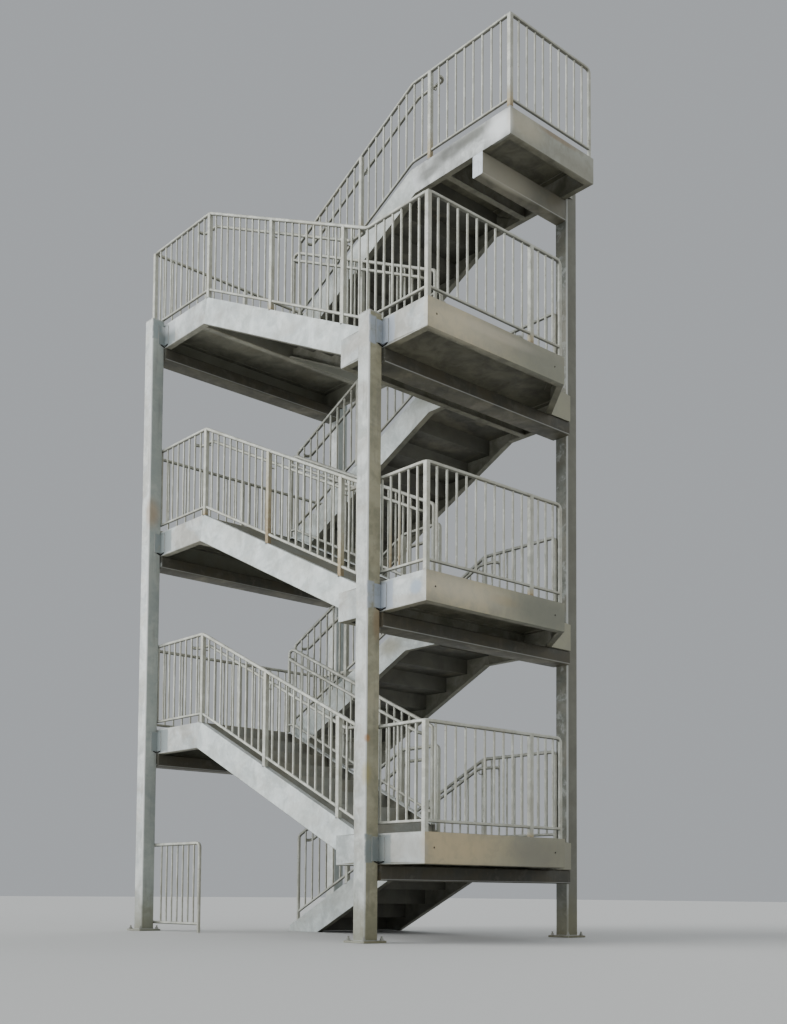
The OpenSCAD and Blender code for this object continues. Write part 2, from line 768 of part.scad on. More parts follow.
// Short guard on the ground, its rails welded along the left front column's inner side
module ground_guard() {
    run = [[col_x_l, 0], [x_up_f, 0]];
    y = rail_r - yo;
    color([0.72, 0.73, 0.72]) {
        rail(run, y, low_rail_h, low_rail_d / 2);
        rail(run, y, rail_c, rail_r);
        pipe_post(run, x_up_f, y);
        pickets(run, col_x_l + column_w / 2, x_up_f, y);
    }
}

column_a();
column_b();
column_c();
column_d();
cross_beams_right();
cross_beams_left();
top_cross_beam();
landing_1();
landing_2();
landing_3();
top_landing();
half_landing_1();
half_landing_2();
half_landing_3();
stringers_1();
stringers_2();
stringers_3();
stringers_4();
stringers_5();
stringers_6();
stringers_7();
steps_1();
steps_2();
steps_3();
steps_4();
steps_5();
steps_6();
steps_7();
front_guard_1();
front_guard_2();
front_guard_3();
back_guard_1();
back_guard_2();
back_guard_3();
back_guard_4();
end_guards();
side_guards();
top_side_guard();
inner_guards_1();
inner_guards_2();
inner_guards_3();
inner_guards_4();
ground_guard();
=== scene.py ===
"""Weathered galvanised fire escape stair: the looks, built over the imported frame."""

import logging
import math
from collections.abc import Iterable, Sequence
from dataclasses import dataclass, field, replace
from enum import Enum

import bmesh
import bpy
from mathutils import Matrix, Vector
from mathutils.bvhtree import BVHTree


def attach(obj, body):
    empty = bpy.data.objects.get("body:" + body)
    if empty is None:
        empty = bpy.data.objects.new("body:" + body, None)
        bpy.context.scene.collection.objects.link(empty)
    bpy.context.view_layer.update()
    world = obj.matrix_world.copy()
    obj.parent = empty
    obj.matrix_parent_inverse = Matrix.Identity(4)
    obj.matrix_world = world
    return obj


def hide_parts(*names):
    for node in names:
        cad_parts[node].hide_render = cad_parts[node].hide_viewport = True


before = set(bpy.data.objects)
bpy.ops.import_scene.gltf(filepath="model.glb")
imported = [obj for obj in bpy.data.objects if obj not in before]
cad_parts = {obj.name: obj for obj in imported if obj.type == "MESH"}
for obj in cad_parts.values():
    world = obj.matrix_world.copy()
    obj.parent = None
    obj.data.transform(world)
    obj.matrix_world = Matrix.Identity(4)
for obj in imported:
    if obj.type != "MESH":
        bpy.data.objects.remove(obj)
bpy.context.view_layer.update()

LOG = logging.getLogger("stair")
Point = tuple[float, float, float]
Run = list[tuple[float, float]]
Socket = bpy.types.NodeSocket
Tree = bpy.types.NodeTree
Piece = bpy.types.Object
Paint = bpy.types.Material
Layer = tuple[Socket, object]

# Kinds of node and settings that come back often
MATH, VECTOR_MATH = "ShaderNodeMath", "ShaderNodeVectorMath"
MIX, MAP_RANGE = "ShaderNodeMix", "ShaderNodeMapRange"
MIXED = {"data_type": "RGBA"}
EASED = {"interpolation_type": "SMOOTHSTEP"}
MULTIPLY = {"operation": "MULTIPLY"}
MULTIPLY_ADD = {"operation": "MULTIPLY_ADD"}
MAXIMUM = {"operation": "MAXIMUM"}


@dataclass(frozen=True)
class StairSizes:
    """The stair's own sizes in metres, the same as in the part's source."""

    riser: float = 0.1778
    going: float = 0.366
    front_risers: int = 8
    top_risers: int = 7
    half_width: float = 1.425
    well: float = 0.022
    x_right: float = 2.565
    x_low_front: float = 1.645
    x_low_back: float = -1.555
    x_low_top: float = -1.805
    x_header_right: float = 1.265
    x_header_left: float = -1.400
    y_side: float = 0.597
    x_top_end: float = 2.308
    top_post_set: float = 1.256
    column_x_right: float = 1.828
    column_x_left: float = -2.338
    column_y: float = 1.514
    column_side: float = 0.178
    column_rise: float = 0.045
    beam_wide: float = 0.254
    beam_narrow: float = 0.152
    channel_depth: float = 0.305
    deck: float = 0.006
    rail_r: float = 0.021
    low_rail_r: float = 0.0165
    handrail_r: float = 0.019
    rail_height: float = 1.052
    low_rail_height: float = 0.104
    handrail_height: float = 0.927
    handrail_off: float = 0.092
    extension: float = 0.305
    post: float = 0.050
    picket: float = 0.019
    picket_gap: float = 0.137

    @property
    def slope(self) -> float:
        """Rise over run of every flight."""
        return self.riser / self.going

    @property
    def x_up_front(self) -> float:
        """Top kink of the front flights."""
        return self.x_low_front - self.front_risers * self.going

    @property
    def x_up_top(self) -> float:
        """Top kink of the top flight."""
        return self.x_low_top + self.top_risers * self.going

    @property
    def y_rail(self) -> float:
        """Distance of the outer guards from the middle."""
        return self.half_width - self.post / 2

    @property
    def y_inner(self) -> float:
        """Distance of the inner guards from the middle."""
        return self.well + self.post / 2

    @property
    def x_end(self) -> float:
        """Distance of the end and side guards from the middle."""
        return self.x_right - self.post / 2

    def level(self, risers: int) -> float:
        """Height of the channels' top under a floor that many risers up."""
        return risers * self.riser - self.deck

    def back_up(self, risers: int) -> float:
        """Top kink of a back flight with that many risers."""
        return self.x_low_back + risers * self.going


S = StairSizes()

# Feet of the bars that rust, and how far up the rust shows, in metres
RUST_SPOTS: tuple[tuple[Point, float], ...] = (
    ((2.540, 0.085, 6.217), 0.16),
    ((2.540, 0.085, 3.550), 0.09),
    ((2.540, 0.085, 1.061), 0.06),
    ((2.283, 0.047, 8.884), 0.30),
    ((2.022, -1.400, 3.654), 0.65),
    ((2.136, -1.400, 3.654), 0.65),
    ((1.265, -1.400, 3.741), 0.75),
    ((-0.009, -1.400, 4.340), 1.60),
    ((-1.283, -1.400, 4.972), 0.12),
    ((-0.009, -1.400, 7.000), 0.10),
    ((-1.555, 1.400, 4.972), 0.12),
    ((0.757, 1.400, 8.884), 0.10),
    ((-0.161, 0.047, 8.438), 0.30),
    ((1.052, 0.047, 8.884), 0.40),
    ((-1.375, 0.047, 5.060), 0.12),
)
# A bar this near to one of those feet is the one that rusts, in metres
RUST_SPOT_REACH = 0.115


class Deck(Enum):
    """The floors, as the risers between each and the ground."""

    LANDING_1 = 6
    HALF_1 = 14
    LANDING_2 = 20
    HALF_2 = 28
    LANDING_3 = 35
    HALF_3 = 43
    TOP = 50

    @property
    def steel_top(self) -> float:
        """Height of its channels' top."""
        return S.level(self.value)


RIGHT_DECKS = (Deck.LANDING_1, Deck.LANDING_2, Deck.LANDING_3)
LEFT_DECKS = (Deck.HALF_1, Deck.HALF_2, Deck.HALF_3)


# Node helpers


def linear(text: str) -> tuple[float, float, float, float]:
    """Turns an sRGB hex colour into linear RGBA.

    Args:
        text: six hex digits.

    Returns:
        The linear colour with an alpha of one.
    """
    parts = [int(text[i : i + 2], 16) / 255 for i in (0, 2, 4)]
    red, green, blue = (c / 12.92 if c <= 0.04045 else ((c + 0.055) / 1.055) ** 2.4 for c in parts)
    return (red, green, blue, 1.0)


def add(
    tree: Tree,
    kind: str,
    settings: dict[str, object] | None = None,
    links: dict[object, object] | Sequence[object] = (),
) -> bpy.types.Node:
    """Adds a node, sets its properties and feeds its inputs.

    Args:
        tree: the tree that gets the node.
        kind: the node's type name.
        settings: property names and values of the node.
        links: for each input a socket to link or a value to set, by name or in their order.

    Returns:
        The new node.
    """
    node = tree.nodes.new(kind)
    for name, value in (settings or {}).items():
        setattr(node, name, value)
    for key, value in links.items() if isinstance(links, dict) else enumerate(links):
        socket = node.inputs[key]
        if isinstance(value, Socket):
            tree.links.new(value, socket)
        else:
            socket.default_value = value
    return node


# Finishes


@dataclass(frozen=True)
class Patch:
    """A soft-edged mark on a surface, a box or a ball in the stair's own frame."""

    centre: Point
    half: Point
    colour: str
    strength: float = 0.85
    edge: float = 0.012
    ball: bool = False

    def cover(self, tree: Tree, place: Socket, ragged: Socket) -> Socket:
        """Adds the nodes that tell where the mark lies.

        Args:
            tree: the material's tree.
            place: the object's own coordinates.
            ragged: how far a box's outline is pulled about, in metres.

        Returns:
            The mark's strength at each place.
        """
        away = add(tree, VECTOR_MATH, {"operation": "SUBTRACT"}, (place, self.centre)).outputs[0]
        if self.ball:
            share = add(tree, VECTOR_MATH, {"operation": "DIVIDE"}, (away, self.half)).outputs[0]
            length = add(tree, VECTOR_MATH, {"operation": "LENGTH"}, (share,))
            reach, rim = length.outputs["Value"], 1.0
        else:
            size = add(tree, VECTOR_MATH, {"operation": "ABSOLUTE"}, (away,)).outputs[0]
            past = add(tree, VECTOR_MATH, {"operation": "SUBTRACT"}, (size, self.half)).outputs[0]
            x, y, z = add(tree, "ShaderNodeSeparateXYZ", links=(past,)).outputs
            widest = add(tree, MATH, MAXIMUM, (x, y)).outputs[0]
            widest = add(tree, MATH, MAXIMUM, (widest, z)).outputs[0]
            pulled = add(tree, MATH, {"operation": "ADD"}, (widest, ragged))
            reach, rim = pulled.outputs[0], 0.0
        low, high = rim - self.edge, rim + self.edge
        return add(tree, MAP_RANGE, EASED, (reach, low, high, self.strength, 0.0)).outputs["Result"]


def clip_patches(
    decks: Sequence[Deck], x: float, reach: float, y: float, depth: float,
    colours: Sequence[str], drop: float = 0.150, half_rise: float = 0.136,
) -> tuple[Patch, ...]:
    """Cold zinc paint over the clip angles on the +X side of a front column.

    Args:
        decks: the floors whose clips are painted.
        x: where the paint starts.
        reach: how far it goes on along X.
        y: middle of the paint across the column.
        depth: half of its width along Y.
        colours: one colour for each floor.
        drop: middle of the paint below the channels' top.
        half_rise: half of its height.

    Returns:
        One patch for each floor.
    """
    return tuple(
        Patch((x + reach / 2, y, deck.steel_top - drop), (reach / 2, depth, half_rise), colour)
        for deck, colour in zip(decks, colours)
    )


@dataclass(frozen=True)
class GalvanisedFinish:
    """Hot-dip galvanised steel, dull after years outdoors."""

    name: str
    light: str = "cfd3d2"
    dark: str = "aeb3b3"
    stain: str = "a2957f"
    # Faces towards +X: partly brown film, partly painted shade with a warm bounce tint, painted
    # darker towards +Y
    side: str = "b0a68d"
    side_far: str = "85867a"
    side_blotch: str = "989484"
    # Undersides and faces hidden from the sky: painted shade with grime
    soffit: str = "6a6857"
    soffit_dark: str = "49473a"
    recess_shade: str = "8d8b7e"
    fleck_amount: float = 0.0
    stain_amount: float = 0.35
    side_amount: float = 0.8
    soffit_amount: float = 0.95
    streak_amount: float = 0.35
    # Strength of the painted highlight on one corner
    corner_highlight_amount: float = 0.0
    lying: bool = False
    # Strength of the painted shade and grime on faces hidden from the sky
    shelter_amount: float = 0.9
    spangle: float = 0.10
    crystal_mm: float = 22.0
    cloud_mm: float = 420.0
    roughness: float = 0.56
    metallic: float = 0.25
    rusting: bool = False
    footing: bool = False
    patches: tuple[Patch, ...] = ()

    def build(self) -> Paint:
        """Builds the material.

        Returns:
            Weathered zinc: a mottled grey skin with cloudy pale carbonate and runs; a tan tone on
                the
            faces towards +X, partly brown rain film and partly painted shade with a warm bounce
            tint;
            a painted highlight on one corner; and painted shade with grime on whatever faces down
            or is hidden from the sky.
        """
        material = bpy.data.materials.new(self.name)
        material.use_nodes = True
        tree = material.node_tree
        tree.nodes.clear()
        place = add(tree, "ShaderNodeTexCoord").outputs["Object"]
        here = add(tree, "ShaderNodeSeparateXYZ", links=(place,)).outputs
        noise = self._patterns(tree, place)
        mask = self._masks(tree, place, here[1], noise)
        layers = self._films(tree, noise, mask)
        if self.footing:
            layers.append(self._splash(tree, here[2], noise))
        # Pinholes in the zinc bleed small rust flecks
        layers.append((mask["fleck"], "85603a"))
        layers += self._marks(tree, place, noise)
        if self.rusting:
            layers += self._rust(tree, noise)
        colour: object = linear(self.dark)
        for cover, above in layers:
            paint = linear(above) if isinstance(above, str) else above
            colour = add(tree, MIX, MIXED, {0: cover, 6: colour, 7: paint}).outputs[2]
        self._surface(tree, colour, noise, mask)
        return material

    def _patterns(self, tree: Tree, place: Socket) -> dict[str, Socket]:
        """Adds the noises, each as wide as what it stands for.

        Args:
            tree: the material's tree.
            place: the object's own coordinates.

        Returns:
            Clouds, brush-sized blots, spots, grain, rain runs and brown films, by name.
        """
        even = (1.0, 1.0, 1.0)
        noise: dict[str, Socket] = {}
        for key, size_mm, detail, rough, warp, stretch in (
            ("cloud", self.cloud_mm, 6.0, 0.62, 0.6, even),
            ("blot", 110.0, 4.0, 0.6, 0.4, even),
            ("spot", 38.0, 3.0, 0.7, 0.3, even),
            ("grain", 9.0, 3.0, 0.65, 0.0, even),
            ("run", 60.0, 4.0, 0.6, 0.0, (1.0, 1.0, 0.09)),
            ("film", 460.0, 5.0, 0.62, 0.5, (1.0, 1.0, 1.5)),
        ):
            # Each noise is moved by its own distance, so that no two line up
            shift = 3.1 * len(noise)
            moved = add(tree, "ShaderNodeMapping", links={
                "Vector": place, "Scale": stretch, "Location": (shift, shift * 0.7, shift * 1.3),
            })
            noise[key] = add(tree, "ShaderNodeTexNoise", links={
                "Vector": moved.outputs["Vector"], "Scale": 1000.0 / size_mm, "Detail": detail,
                "Roughness": rough, "Distortion": warp,
            }).outputs["Fac"]
        return noise

    def _masks(
        self, tree: Tree, place: Socket, across: Socket, noise: dict[str, Socket]
    ) -> dict[str, Socket]:
        """Works out where each film and stain lies.

        Args:
            tree: the material's tree.
            place: the object's own coordinates.
            across: their Y.
            noise: the patterns by name.

        Returns:
            Each mask, from 0 up to its amount, by name.
        """
        normal = add(tree, "ShaderNodeNewGeometry").outputs["Normal"]
        facing = add(tree, "ShaderNodeSeparateXYZ", links=(normal,)).outputs
        # Zinc crystals, a fingertip across, still show as faint facets
        cells = add(tree, "ShaderNodeTexVoronoi", links={
            "Vector": place, "Scale": 1000.0 / self.crystal_mm,
        }).outputs["Color"]
        facet = add(tree, "ShaderNodeSeparateXYZ", links=(cells,)).outputs[0]
        upright = add(tree, MATH, {"operation": "ABSOLUTE"}, (facing[2],)).outputs[0]
        # Corners whose normal leans to +X and -Y, or to -X and +Y (Z instead of Y for lying tubes),
        # get a painted highlight
        beside = facing[2 if self.lying else 1]
        edge = add(tree, MATH, MULTIPLY, (facing[0], beside)).outputs[0]
        # Share of the sky that steel hides from each face, for painted shade and grime
        shade_and_grime = add(tree, "ShaderNodeAttribute", {"attribute_name": "shade_and_grime"}).outputs["Fac"]

        mask: dict[str, Socket] = {}
        for key, value, low, high, amount in (
            ("cloud", noise["cloud"], 0.35, 0.66, 1.0),
            ("pale", noise["blot"], 0.52, 0.70, 0.45),
            ("spot", noise["spot"], 0.60, 0.74, 0.30),
            ("facet", facet, 0.0, 1.0, self.spangle),
            ("film", noise["film"], 0.42, 0.64, self.stain_amount),
            ("run", noise["run"], 0.52, 0.72, self.streak_amount),
            ("upright", upright, 0.5, 0.2, 1.0),
            # Faces towards +X take a tone that is partly brown film and partly painted shade
            ("side", facing[0], 0.3, 0.9, self.side_amount),
            ("far", across, -1.3, 0.7, 1.0),
            ("blotch", noise["film"], 0.40, 0.66, 0.7),
            ("wear", edge, -0.10, -0.42, self.corner_highlight_amount),
            ("shade_and_grime", shade_and_grime, 0.30, 0.62, self.shelter_amount),
            ("open", shade_and_grime, 0.62, 0.30, 1.0),
            ("off_floor", facing[2], 0.5, 0.2, 1.0),
            # Faces turned down get painted shade with grime
            ("down", facing[2], -0.25, -0.8, self.soffit_amount),
            ("murk", noise["cloud"], 0.3, 0.7, 1.0),
            ("drip", noise["film"], 0.5, 0.66, 0.5),
            ("mottle", noise["blot"], 0.46, 0.66, 0.55),
            ("fleck", noise["spot"], 0.67, 0.73, self.fleck_amount),
        ):
            eased = add(tree, MAP_RANGE, EASED, (value, low, high, 0.0, amount))
            mask[key] = eased.outputs["Result"]
        # Runs keep to upright faces; the +X tone, brown film and painted shade, keeps to faces open
        # to the sky; painted shade and grime on hidden faces keep off floors
        for key, first, second in (
            ("run", "run", "upright"),
            ("side", "side", "open"),
            ("side_blotch", "side", "blotch"),
            ("side_mottle", "side", "mottle"),
            ("shade_and_grime", "shade_and_grime", "off_floor"),
        ):
            mask[key] = add(tree, MATH, MULTIPLY, (mask[first], mask[second])).outputs[0]
        return mask

    def _films(
        self, tree: Tree, noise: dict[str, Socket], mask: dict[str, Socket]
    ) -> list[Layer]:
        """Stacks the films that lie all over the steel.

        Args:
            tree: the material's tree.
            noise: the patterns by name.
            mask: the masks by name.

        Returns:
            Each film's cover and its colour, the lowest first.
        """
        # The +X tone is painted darker towards +Y: painted shade, broken up by clouds
        far = add(
            tree, MATH, {"operation": "MULTIPLY_ADD", "use_clamp": True},
            (noise["cloud"], 0.5, mask["far"]),
        ).outputs[0]
        far = add(tree, MATH, {"operation": "SUBTRACT", "use_clamp": True}, (far, 0.25)).outputs[0]
        side, murk, recess_shade = (
            add(tree, MIX, MIXED, {0: share, 6: linear(first), 7: linear(second)}).outputs[2]
            for share, first, second in (
                (far, self.side, self.side_far),
                (mask["murk"], self.soffit_dark, self.soffit),
                # Faces hidden from the sky get painted shade with grime, paler than on the
                # undersides
                (mask["murk"], self.soffit, self.recess_shade),
            )
        )
        # Undersides: painted shade with grime, broken by paler drip blotches
        drip = add(tree, MIX, MIXED, {0: mask["drip"], 6: murk, 7: linear("75705f")}).outputs[2]
        return [
            (mask["cloud"], self.light),
            (mask["pale"], "dadedc"),
            (mask["spot"], "8f9393"),
            (mask["facet"], "7f8689"),
            (mask["film"], self.stain),
            (mask["side"], side),
            (mask["side_blotch"], self.side_blotch),
            (mask["side_mottle"], self.side_blotch),
            (mask["run"], "77746a"),
            # A painted highlight along one corner
            (mask["wear"], "e6e8e4"),
            (mask["shade_and_grime"], recess_shade),
            (mask["down"], drip),
        ]

    def _splash(self, tree: Tree, height: Socket, noise: dict[str, Socket]) -> Layer:
        """Adds the dirt that rain splashes on the columns' feet.

        Args:
            tree: the material's tree.
            height: the object's own Z.
            noise: the patterns by name.

        Returns:
            The dirt's cover and its colour.
        """
        ragged = add(tree, MATH, MULTIPLY_ADD, (noise["blot"], -0.5, height))
        cover = add(tree, MAP_RANGE, EASED, (ragged.outputs[0], -0.15, 0.35, 0.6, 0.0))
        return cover.outputs["Result"], "7d7a5e"

    def _marks(self, tree: Tree, place: Socket, noise: dict[str, Socket]) -> list[Layer]:
        """Adds brushed zinc paint and single marks, their outlines pulled about by the blots.

        Args:
            tree: the material's tree.
            place: the object's own coordinates.
            noise: the patterns by name.

        Returns:
            Each mark's cover and its colour.
        """
        ragged = add(tree, MATH, MULTIPLY_ADD, (noise["blot"], 0.06, -0.03)).outputs[0]
        return [(patch.cover(tree, place, ragged), patch.colour) for patch in self.patches]

    def _rust(self, tree: Tree, noise: dict[str, Socket]) -> list[Layer]:
        """Adds rust that creeps up from a bar's foot as far as its rust attribute says.

        Args:
            tree: the material's tree.
            noise: the patterns by name.

        Returns:
            A pale bloom with a darker core, each with its cover and its colour.
        """
        reach, above = (
            add(tree, "ShaderNodeAttribute", {"attribute_name": name}).outputs["Fac"]
            for name in ("rust", "above_foot")
        )
        sure = add(tree, MATH, MAXIMUM, (reach, 0.001)).outputs[0]
        share = add(tree, MATH, {"operation": "DIVIDE"}, (above, sure)).outputs[0]
        torn = add(tree, MATH, MULTIPLY_ADD, (noise["spot"], 0.8, share)).outputs[0]
        marked = add(tree, MATH, {"operation": "GREATER_THAN"}, (reach, 0.002)).outputs[0]
        layers: list[Layer] = []
        for low, high, amount, hue in (
            (1.40, 0.60, 0.62, "a8976c"),
            (0.72, 0.40, 0.55, "7d6038"),
        ):
            bloom = add(tree, MAP_RANGE, EASED, (torn, low, high, 0.0, amount)).outputs["Result"]
            both = add(tree, MATH, MULTIPLY, (bloom, marked))
            layers.append((both.outputs[0], hue))
        return layers

    def _surface(
        self, tree: Tree, colour: Socket, noise: dict[str, Socket], mask: dict[str, Socket]
    ) -> None:
        """Adds roughness, sheen and relief, and closes the tree.

        Args:
            tree: the material's tree.
            colour: the finished colour.
            noise: the patterns by name.
            mask: the masks by name.
        """
        rough = add(tree, MAP_RANGE, links=(
            noise["blot"], 0.3, 0.7, self.roughness - 0.08, self.roughness + 0.12,
        ))
        # Dirt and the painted shade on the +X faces and undersides take the metal's sheen away
        dirt = add(tree, MATH, MAXIMUM, (mask["side"], mask["down"]))
        shine = add(tree, MAP_RANGE, links={
            "Value": dirt.outputs[0], "To Min": self.metallic, "To Max": self.metallic * 0.2,
        })
        height = add(tree, MATH, MULTIPLY_ADD, (noise["grain"], 0.5, noise["blot"]))
        bump = add(tree, "ShaderNodeBump", links={
            "Strength": 0.2, "Distance": 0.0015, "Height": height.outputs[0],
        })
        shader = add(tree, "ShaderNodeBsdfPrincipled", links={
            "Base Color": colour, "Roughness": rough.outputs["Result"],
            "Metallic": shine.outputs["Result"], "Normal": bump.outputs["Normal"],
        })
        add(tree, "ShaderNodeOutputMaterial", links={"Surface": shader.outputs[0]})


@dataclass(frozen=True)
class PlainFinish:
    """A small fitting's finish, with a light grain."""

    name: str
    colour: str
    roughness: float
    metallic: float
    grain_mm: float = 4.0

    def build(self) -> Paint:
        """Builds the material.

        Returns:
            One colour broken up by fine noise in tone and roughness.
        """
        material = bpy.data.materials.new(self.name)
        material.use_nodes = True
        tree = material.node_tree
        tree.nodes.clear()
        place = add(tree, "ShaderNodeTexCoord").outputs["Object"]
        grain = add(tree, "ShaderNodeTexNoise", links={
            "Vector": place, "Scale": 1000 / self.grain_mm, "Detail": 4.0, "Roughness": 0.65,
        }).outputs["Fac"]
        colour = add(tree, MIX, {"data_type": "RGBA", "blend_type": "MULTIPLY"}, {
            0: 0.45, 6: linear(self.colour), 7: grain,
        }).outputs[2]
        rough = add(tree, MAP_RANGE, links={
            "Value": grain, "To Min": self.roughness - 0.12, "To Max": self.roughness + 0.12,
        }).outputs["Result"]
        bump = add(tree, "ShaderNodeBump", links={
            "Strength": 0.3, "Distance": 0.001, "Height": grain,
        })
        shader = add(tree, "ShaderNodeBsdfPrincipled", links={
            "Base Color": colour, "Roughness": rough, "Metallic": self.metallic,
            "Normal": bump.outputs["Normal"],
        })
        add(tree, "ShaderNodeOutputMaterial", links={"Surface": shader.outputs[0]})
        return material


class Paintbox:
    """Builds each finish once and hands it out by name."""

    face_right = S.column_x_right + S.column_side / 2
    face_left = S.column_x_left + S.column_side / 2
    # Cold zinc paint on the clip angles, from the lowest floor up
    blue = ("838d8e", "a7b0bb", "a7b0bb")
    slate = ("8b9596", "8b9596", "828c8e")

    def __init__(self) -> None:
        """Builds all the finishes."""
        finishes = (
            *self._tube_finishes(),
            *self._channel_finishes(),
            # Folded plate steps, darker underneath and on the backs of the risers: painted shade
            # with grime
            GalvanisedFinish(
                "galvanised_folded_plate", "bdc0bb", "979a94", "968f7c", "8b887b", "77766a",
                soffit="54534a", soffit_dark="3a3931", recess_shade="605e52", stain_amount=0.5,
                roughness=0.62, side_amount=0.5, streak_amount=0.1,
            ),
            # Guard tube and bar, chalky grey, rusting at the foot of some bars
            GalvanisedFinish(
                "galvanised_guard_tube", "d4d6cc", "b1b3a8", "a9a28c", "b7b5a2", "a3a190",
                soffit="57564b", soffit_dark="434239", stain_amount=0.25, side_amount=0.45,
                soffit_amount=0.92, fleck_amount=0.55, cloud_mm=150, streak_amount=0.1,
                rusting=True,
            ),
            # Bright zinc on nuts and washers, fresher than the dipped steel round them
            PlainFinish("zinc_plated_fastener", "b9b9b0", 0.42, 0.9, 3.0),
            # Weld metal, dipped with the rest and rippled
            PlainFinish("galvanised_weld_bead", "c6c8c2", 0.55, 0.4, 6.0),
            # Painted shadow in the open joints under the clip angles: near-black, so they read as
            # black lines
            PlainFinish("gap_in_shadow", "15140f", 0.9, 0.0, 3.0),
        )
        self._made = {finish.name: finish.build() for finish in finishes}

    def __getitem__(self, name: str) -> Paint:
        """The material of that name."""
        return self._made[name]

    def _tube_finishes(self) -> tuple[GalvanisedFinish, ...]:
        """Sets out the finishes of the columns and beams.

        Returns:
            Three for the columns, three for the beams.
        """
        marks = self._column_marks()
        beam_marks = (
            Patch(
                (S.column_x_right + S.beam_narrow / 2, 0.300, 8.440), (0.05, 0.50, 0.20),
                "a8a392", 0.80, 0.6, True,
            ),
        )
        return (
            # Square tube, rolled and dipped: mottled, with rain runs and a brighter corner, a
            # painted highlight
            GalvanisedFinish(
                "galvanised_square_tube", "d6dad5", "b0b5b0", "a09684", "a39c7e", "90907c",
                side_blotch="7e7e69", side_amount=0.88, streak_amount=0.3, corner_highlight_amount=0.8,
                footing=True, cloud_mm=210, patches=marks,
            ),
            # The column in the corner by the wall: a darker copy of the tube's finish, painted
            # shade for the wall's shadow
            GalvanisedFinish(
                "shaded_galvanised_square_tube", "8d8f86", "6f7168", "7c735f", "7d7b6b", "6d6c60",
                side_blotch="66655a", side_amount=0.8, streak_amount=0.3, corner_highlight_amount=0.5,
                footing=True, cloud_mm=210,
            ),
            # The left columns, washed cleaner by the weather: paler and bluer
            GalvanisedFinish(
                "washed_galvanised_square_tube", "e4e8e4", "c4cac9", "aea694", "a4aaa2", "9ba29d",
                side_blotch="929b99", side_amount=0.85, streak_amount=0.3, corner_highlight_amount=0.8,
                footing=True, cloud_mm=210, patches=marks,
            ),
            # Box beams under the floors: dark olive, painted shade under the floors with grime, and
            # brown spots
            GalvanisedFinish(
                "shaded_grimy_galvanised_box_tube", "5d5c51", "45443b", "67573d", "45433a", "37362e",
                side_blotch="4f4a3a", soffit="504d3e", soffit_dark="36342a", stain_amount=0.45,
                side_amount=0.8, streak_amount=0.1, cloud_mm=300, corner_highlight_amount=0.45, lying=True,
            ),
            # The top beam, out in the light: a lighter copy of the beams' finish, with less painted
            # shade
            GalvanisedFinish(
                "stained_galvanised_box_tube", "949387", "706f64", "7d7057", "858374", "5f5e54",
                side_blotch="746e5c", soffit="6b6755", soffit_dark="4b483b", stain_amount=0.45,
                side_amount=0.8, streak_amount=0.1, cloud_mm=260, corner_highlight_amount=0.45, lying=True,
                patches=beam_marks,
            ),
            # The closing plate on the top beam's end, rain-washed and bluish
            GalvanisedFinish(
                "galvanised_end_plate", "e6edf3", "d0d8df", side_amount=0.2, stain_amount=0.1
            ),
        )

    def _channel_finishes(self) -> tuple[GalvanisedFinish, ...]:
        """Sets out the finishes of the floors' and flights' channels.

        Returns:
            Three for the floors, one for the stringers.
        """
        # Rolled channel round the floors, tan on its end faces (brown film and painted shade with a
        # warm bounce tint), with cold zinc paint at the clips
        floor_channel = GalvanisedFinish(
            "galvanised_floor_channel", "d2d8d6", "a9afad", "ab9f8b", "b6a987", "868877",
            side_blotch="8f8d7f", side_amount=0.95, streak_amount=0.10, cloud_mm=260,
            patches=self._channel_marks(),
        )
        return (
            floor_channel,
            # The same at the far end, with paler painted shade and grime on the undersides and
            # hidden faces
            replace(
                floor_channel, name="galvanised_far_floor_channel",
                soffit="898879", soffit_dark="65645a", recess_shade="8d8c7f",
            ),
            # The top floor's channel, never touched up: smudged where water stands behind it
            GalvanisedFinish(
                "smudged_floor_channel", "d2d6d4", "a5a8a5", "7b7b71", "b2b0a0", "9a9a8d",
                side_blotch="8b8b7e", side_amount=0.9, stain_amount=0.40, streak_amount=0.15,
                cloud_mm=200, patches=self._top_floor_marks(),
            ),
            # Rolled channel beside the steps, the cleanest steel on the stair
            GalvanisedFinish(
                "galvanised_stringer_channel", "e1e8e6", "bec6c4", "b0aea0", "a39a87", "84857a",
                side_amount=0.7, stain_amount=0.28, streak_amount=0.05, cloud_mm=230,
                patches=self._stringer_marks(),
            ),
        )

    def _column_marks(self) -> tuple[Patch, ...]:
        """Sets out the paint and stains on the columns.

        Returns:
            Paint beside the clip angles, then single stains.
        """
        right, left = self.face_right, self.face_left
        top_left = Deck.HALF_3.steel_top + S.column_rise
        painted = clip_patches(
            RIGHT_DECKS, right - 0.006, reach=0.02, y=-1.560, depth=0.050, colours=self.blue
        )
        return painted + (
            Patch((left, -S.column_y, top_left - 0.110), (0.006, 0.1, 0.145), "8b9697"),
            Patch((left, -1.575, 5.190), (0.07, 0.11, 0.16), "a8824f", 0.45, 0.6, True),
            Patch((right, -1.585, 1.985), (0.03, 0.035, 0.035), "b0762f", 0.6, 0.5, True),
            Patch((right, -1.600, 1.640), (0.05, 0.06, 0.10), "b3a45e", 0.45, 0.6, True),
            Patch((right, -1.470, 3.130), (0.02, 0.05, 0.16), "8a6a44", 0.45, 0.6, True),
        )

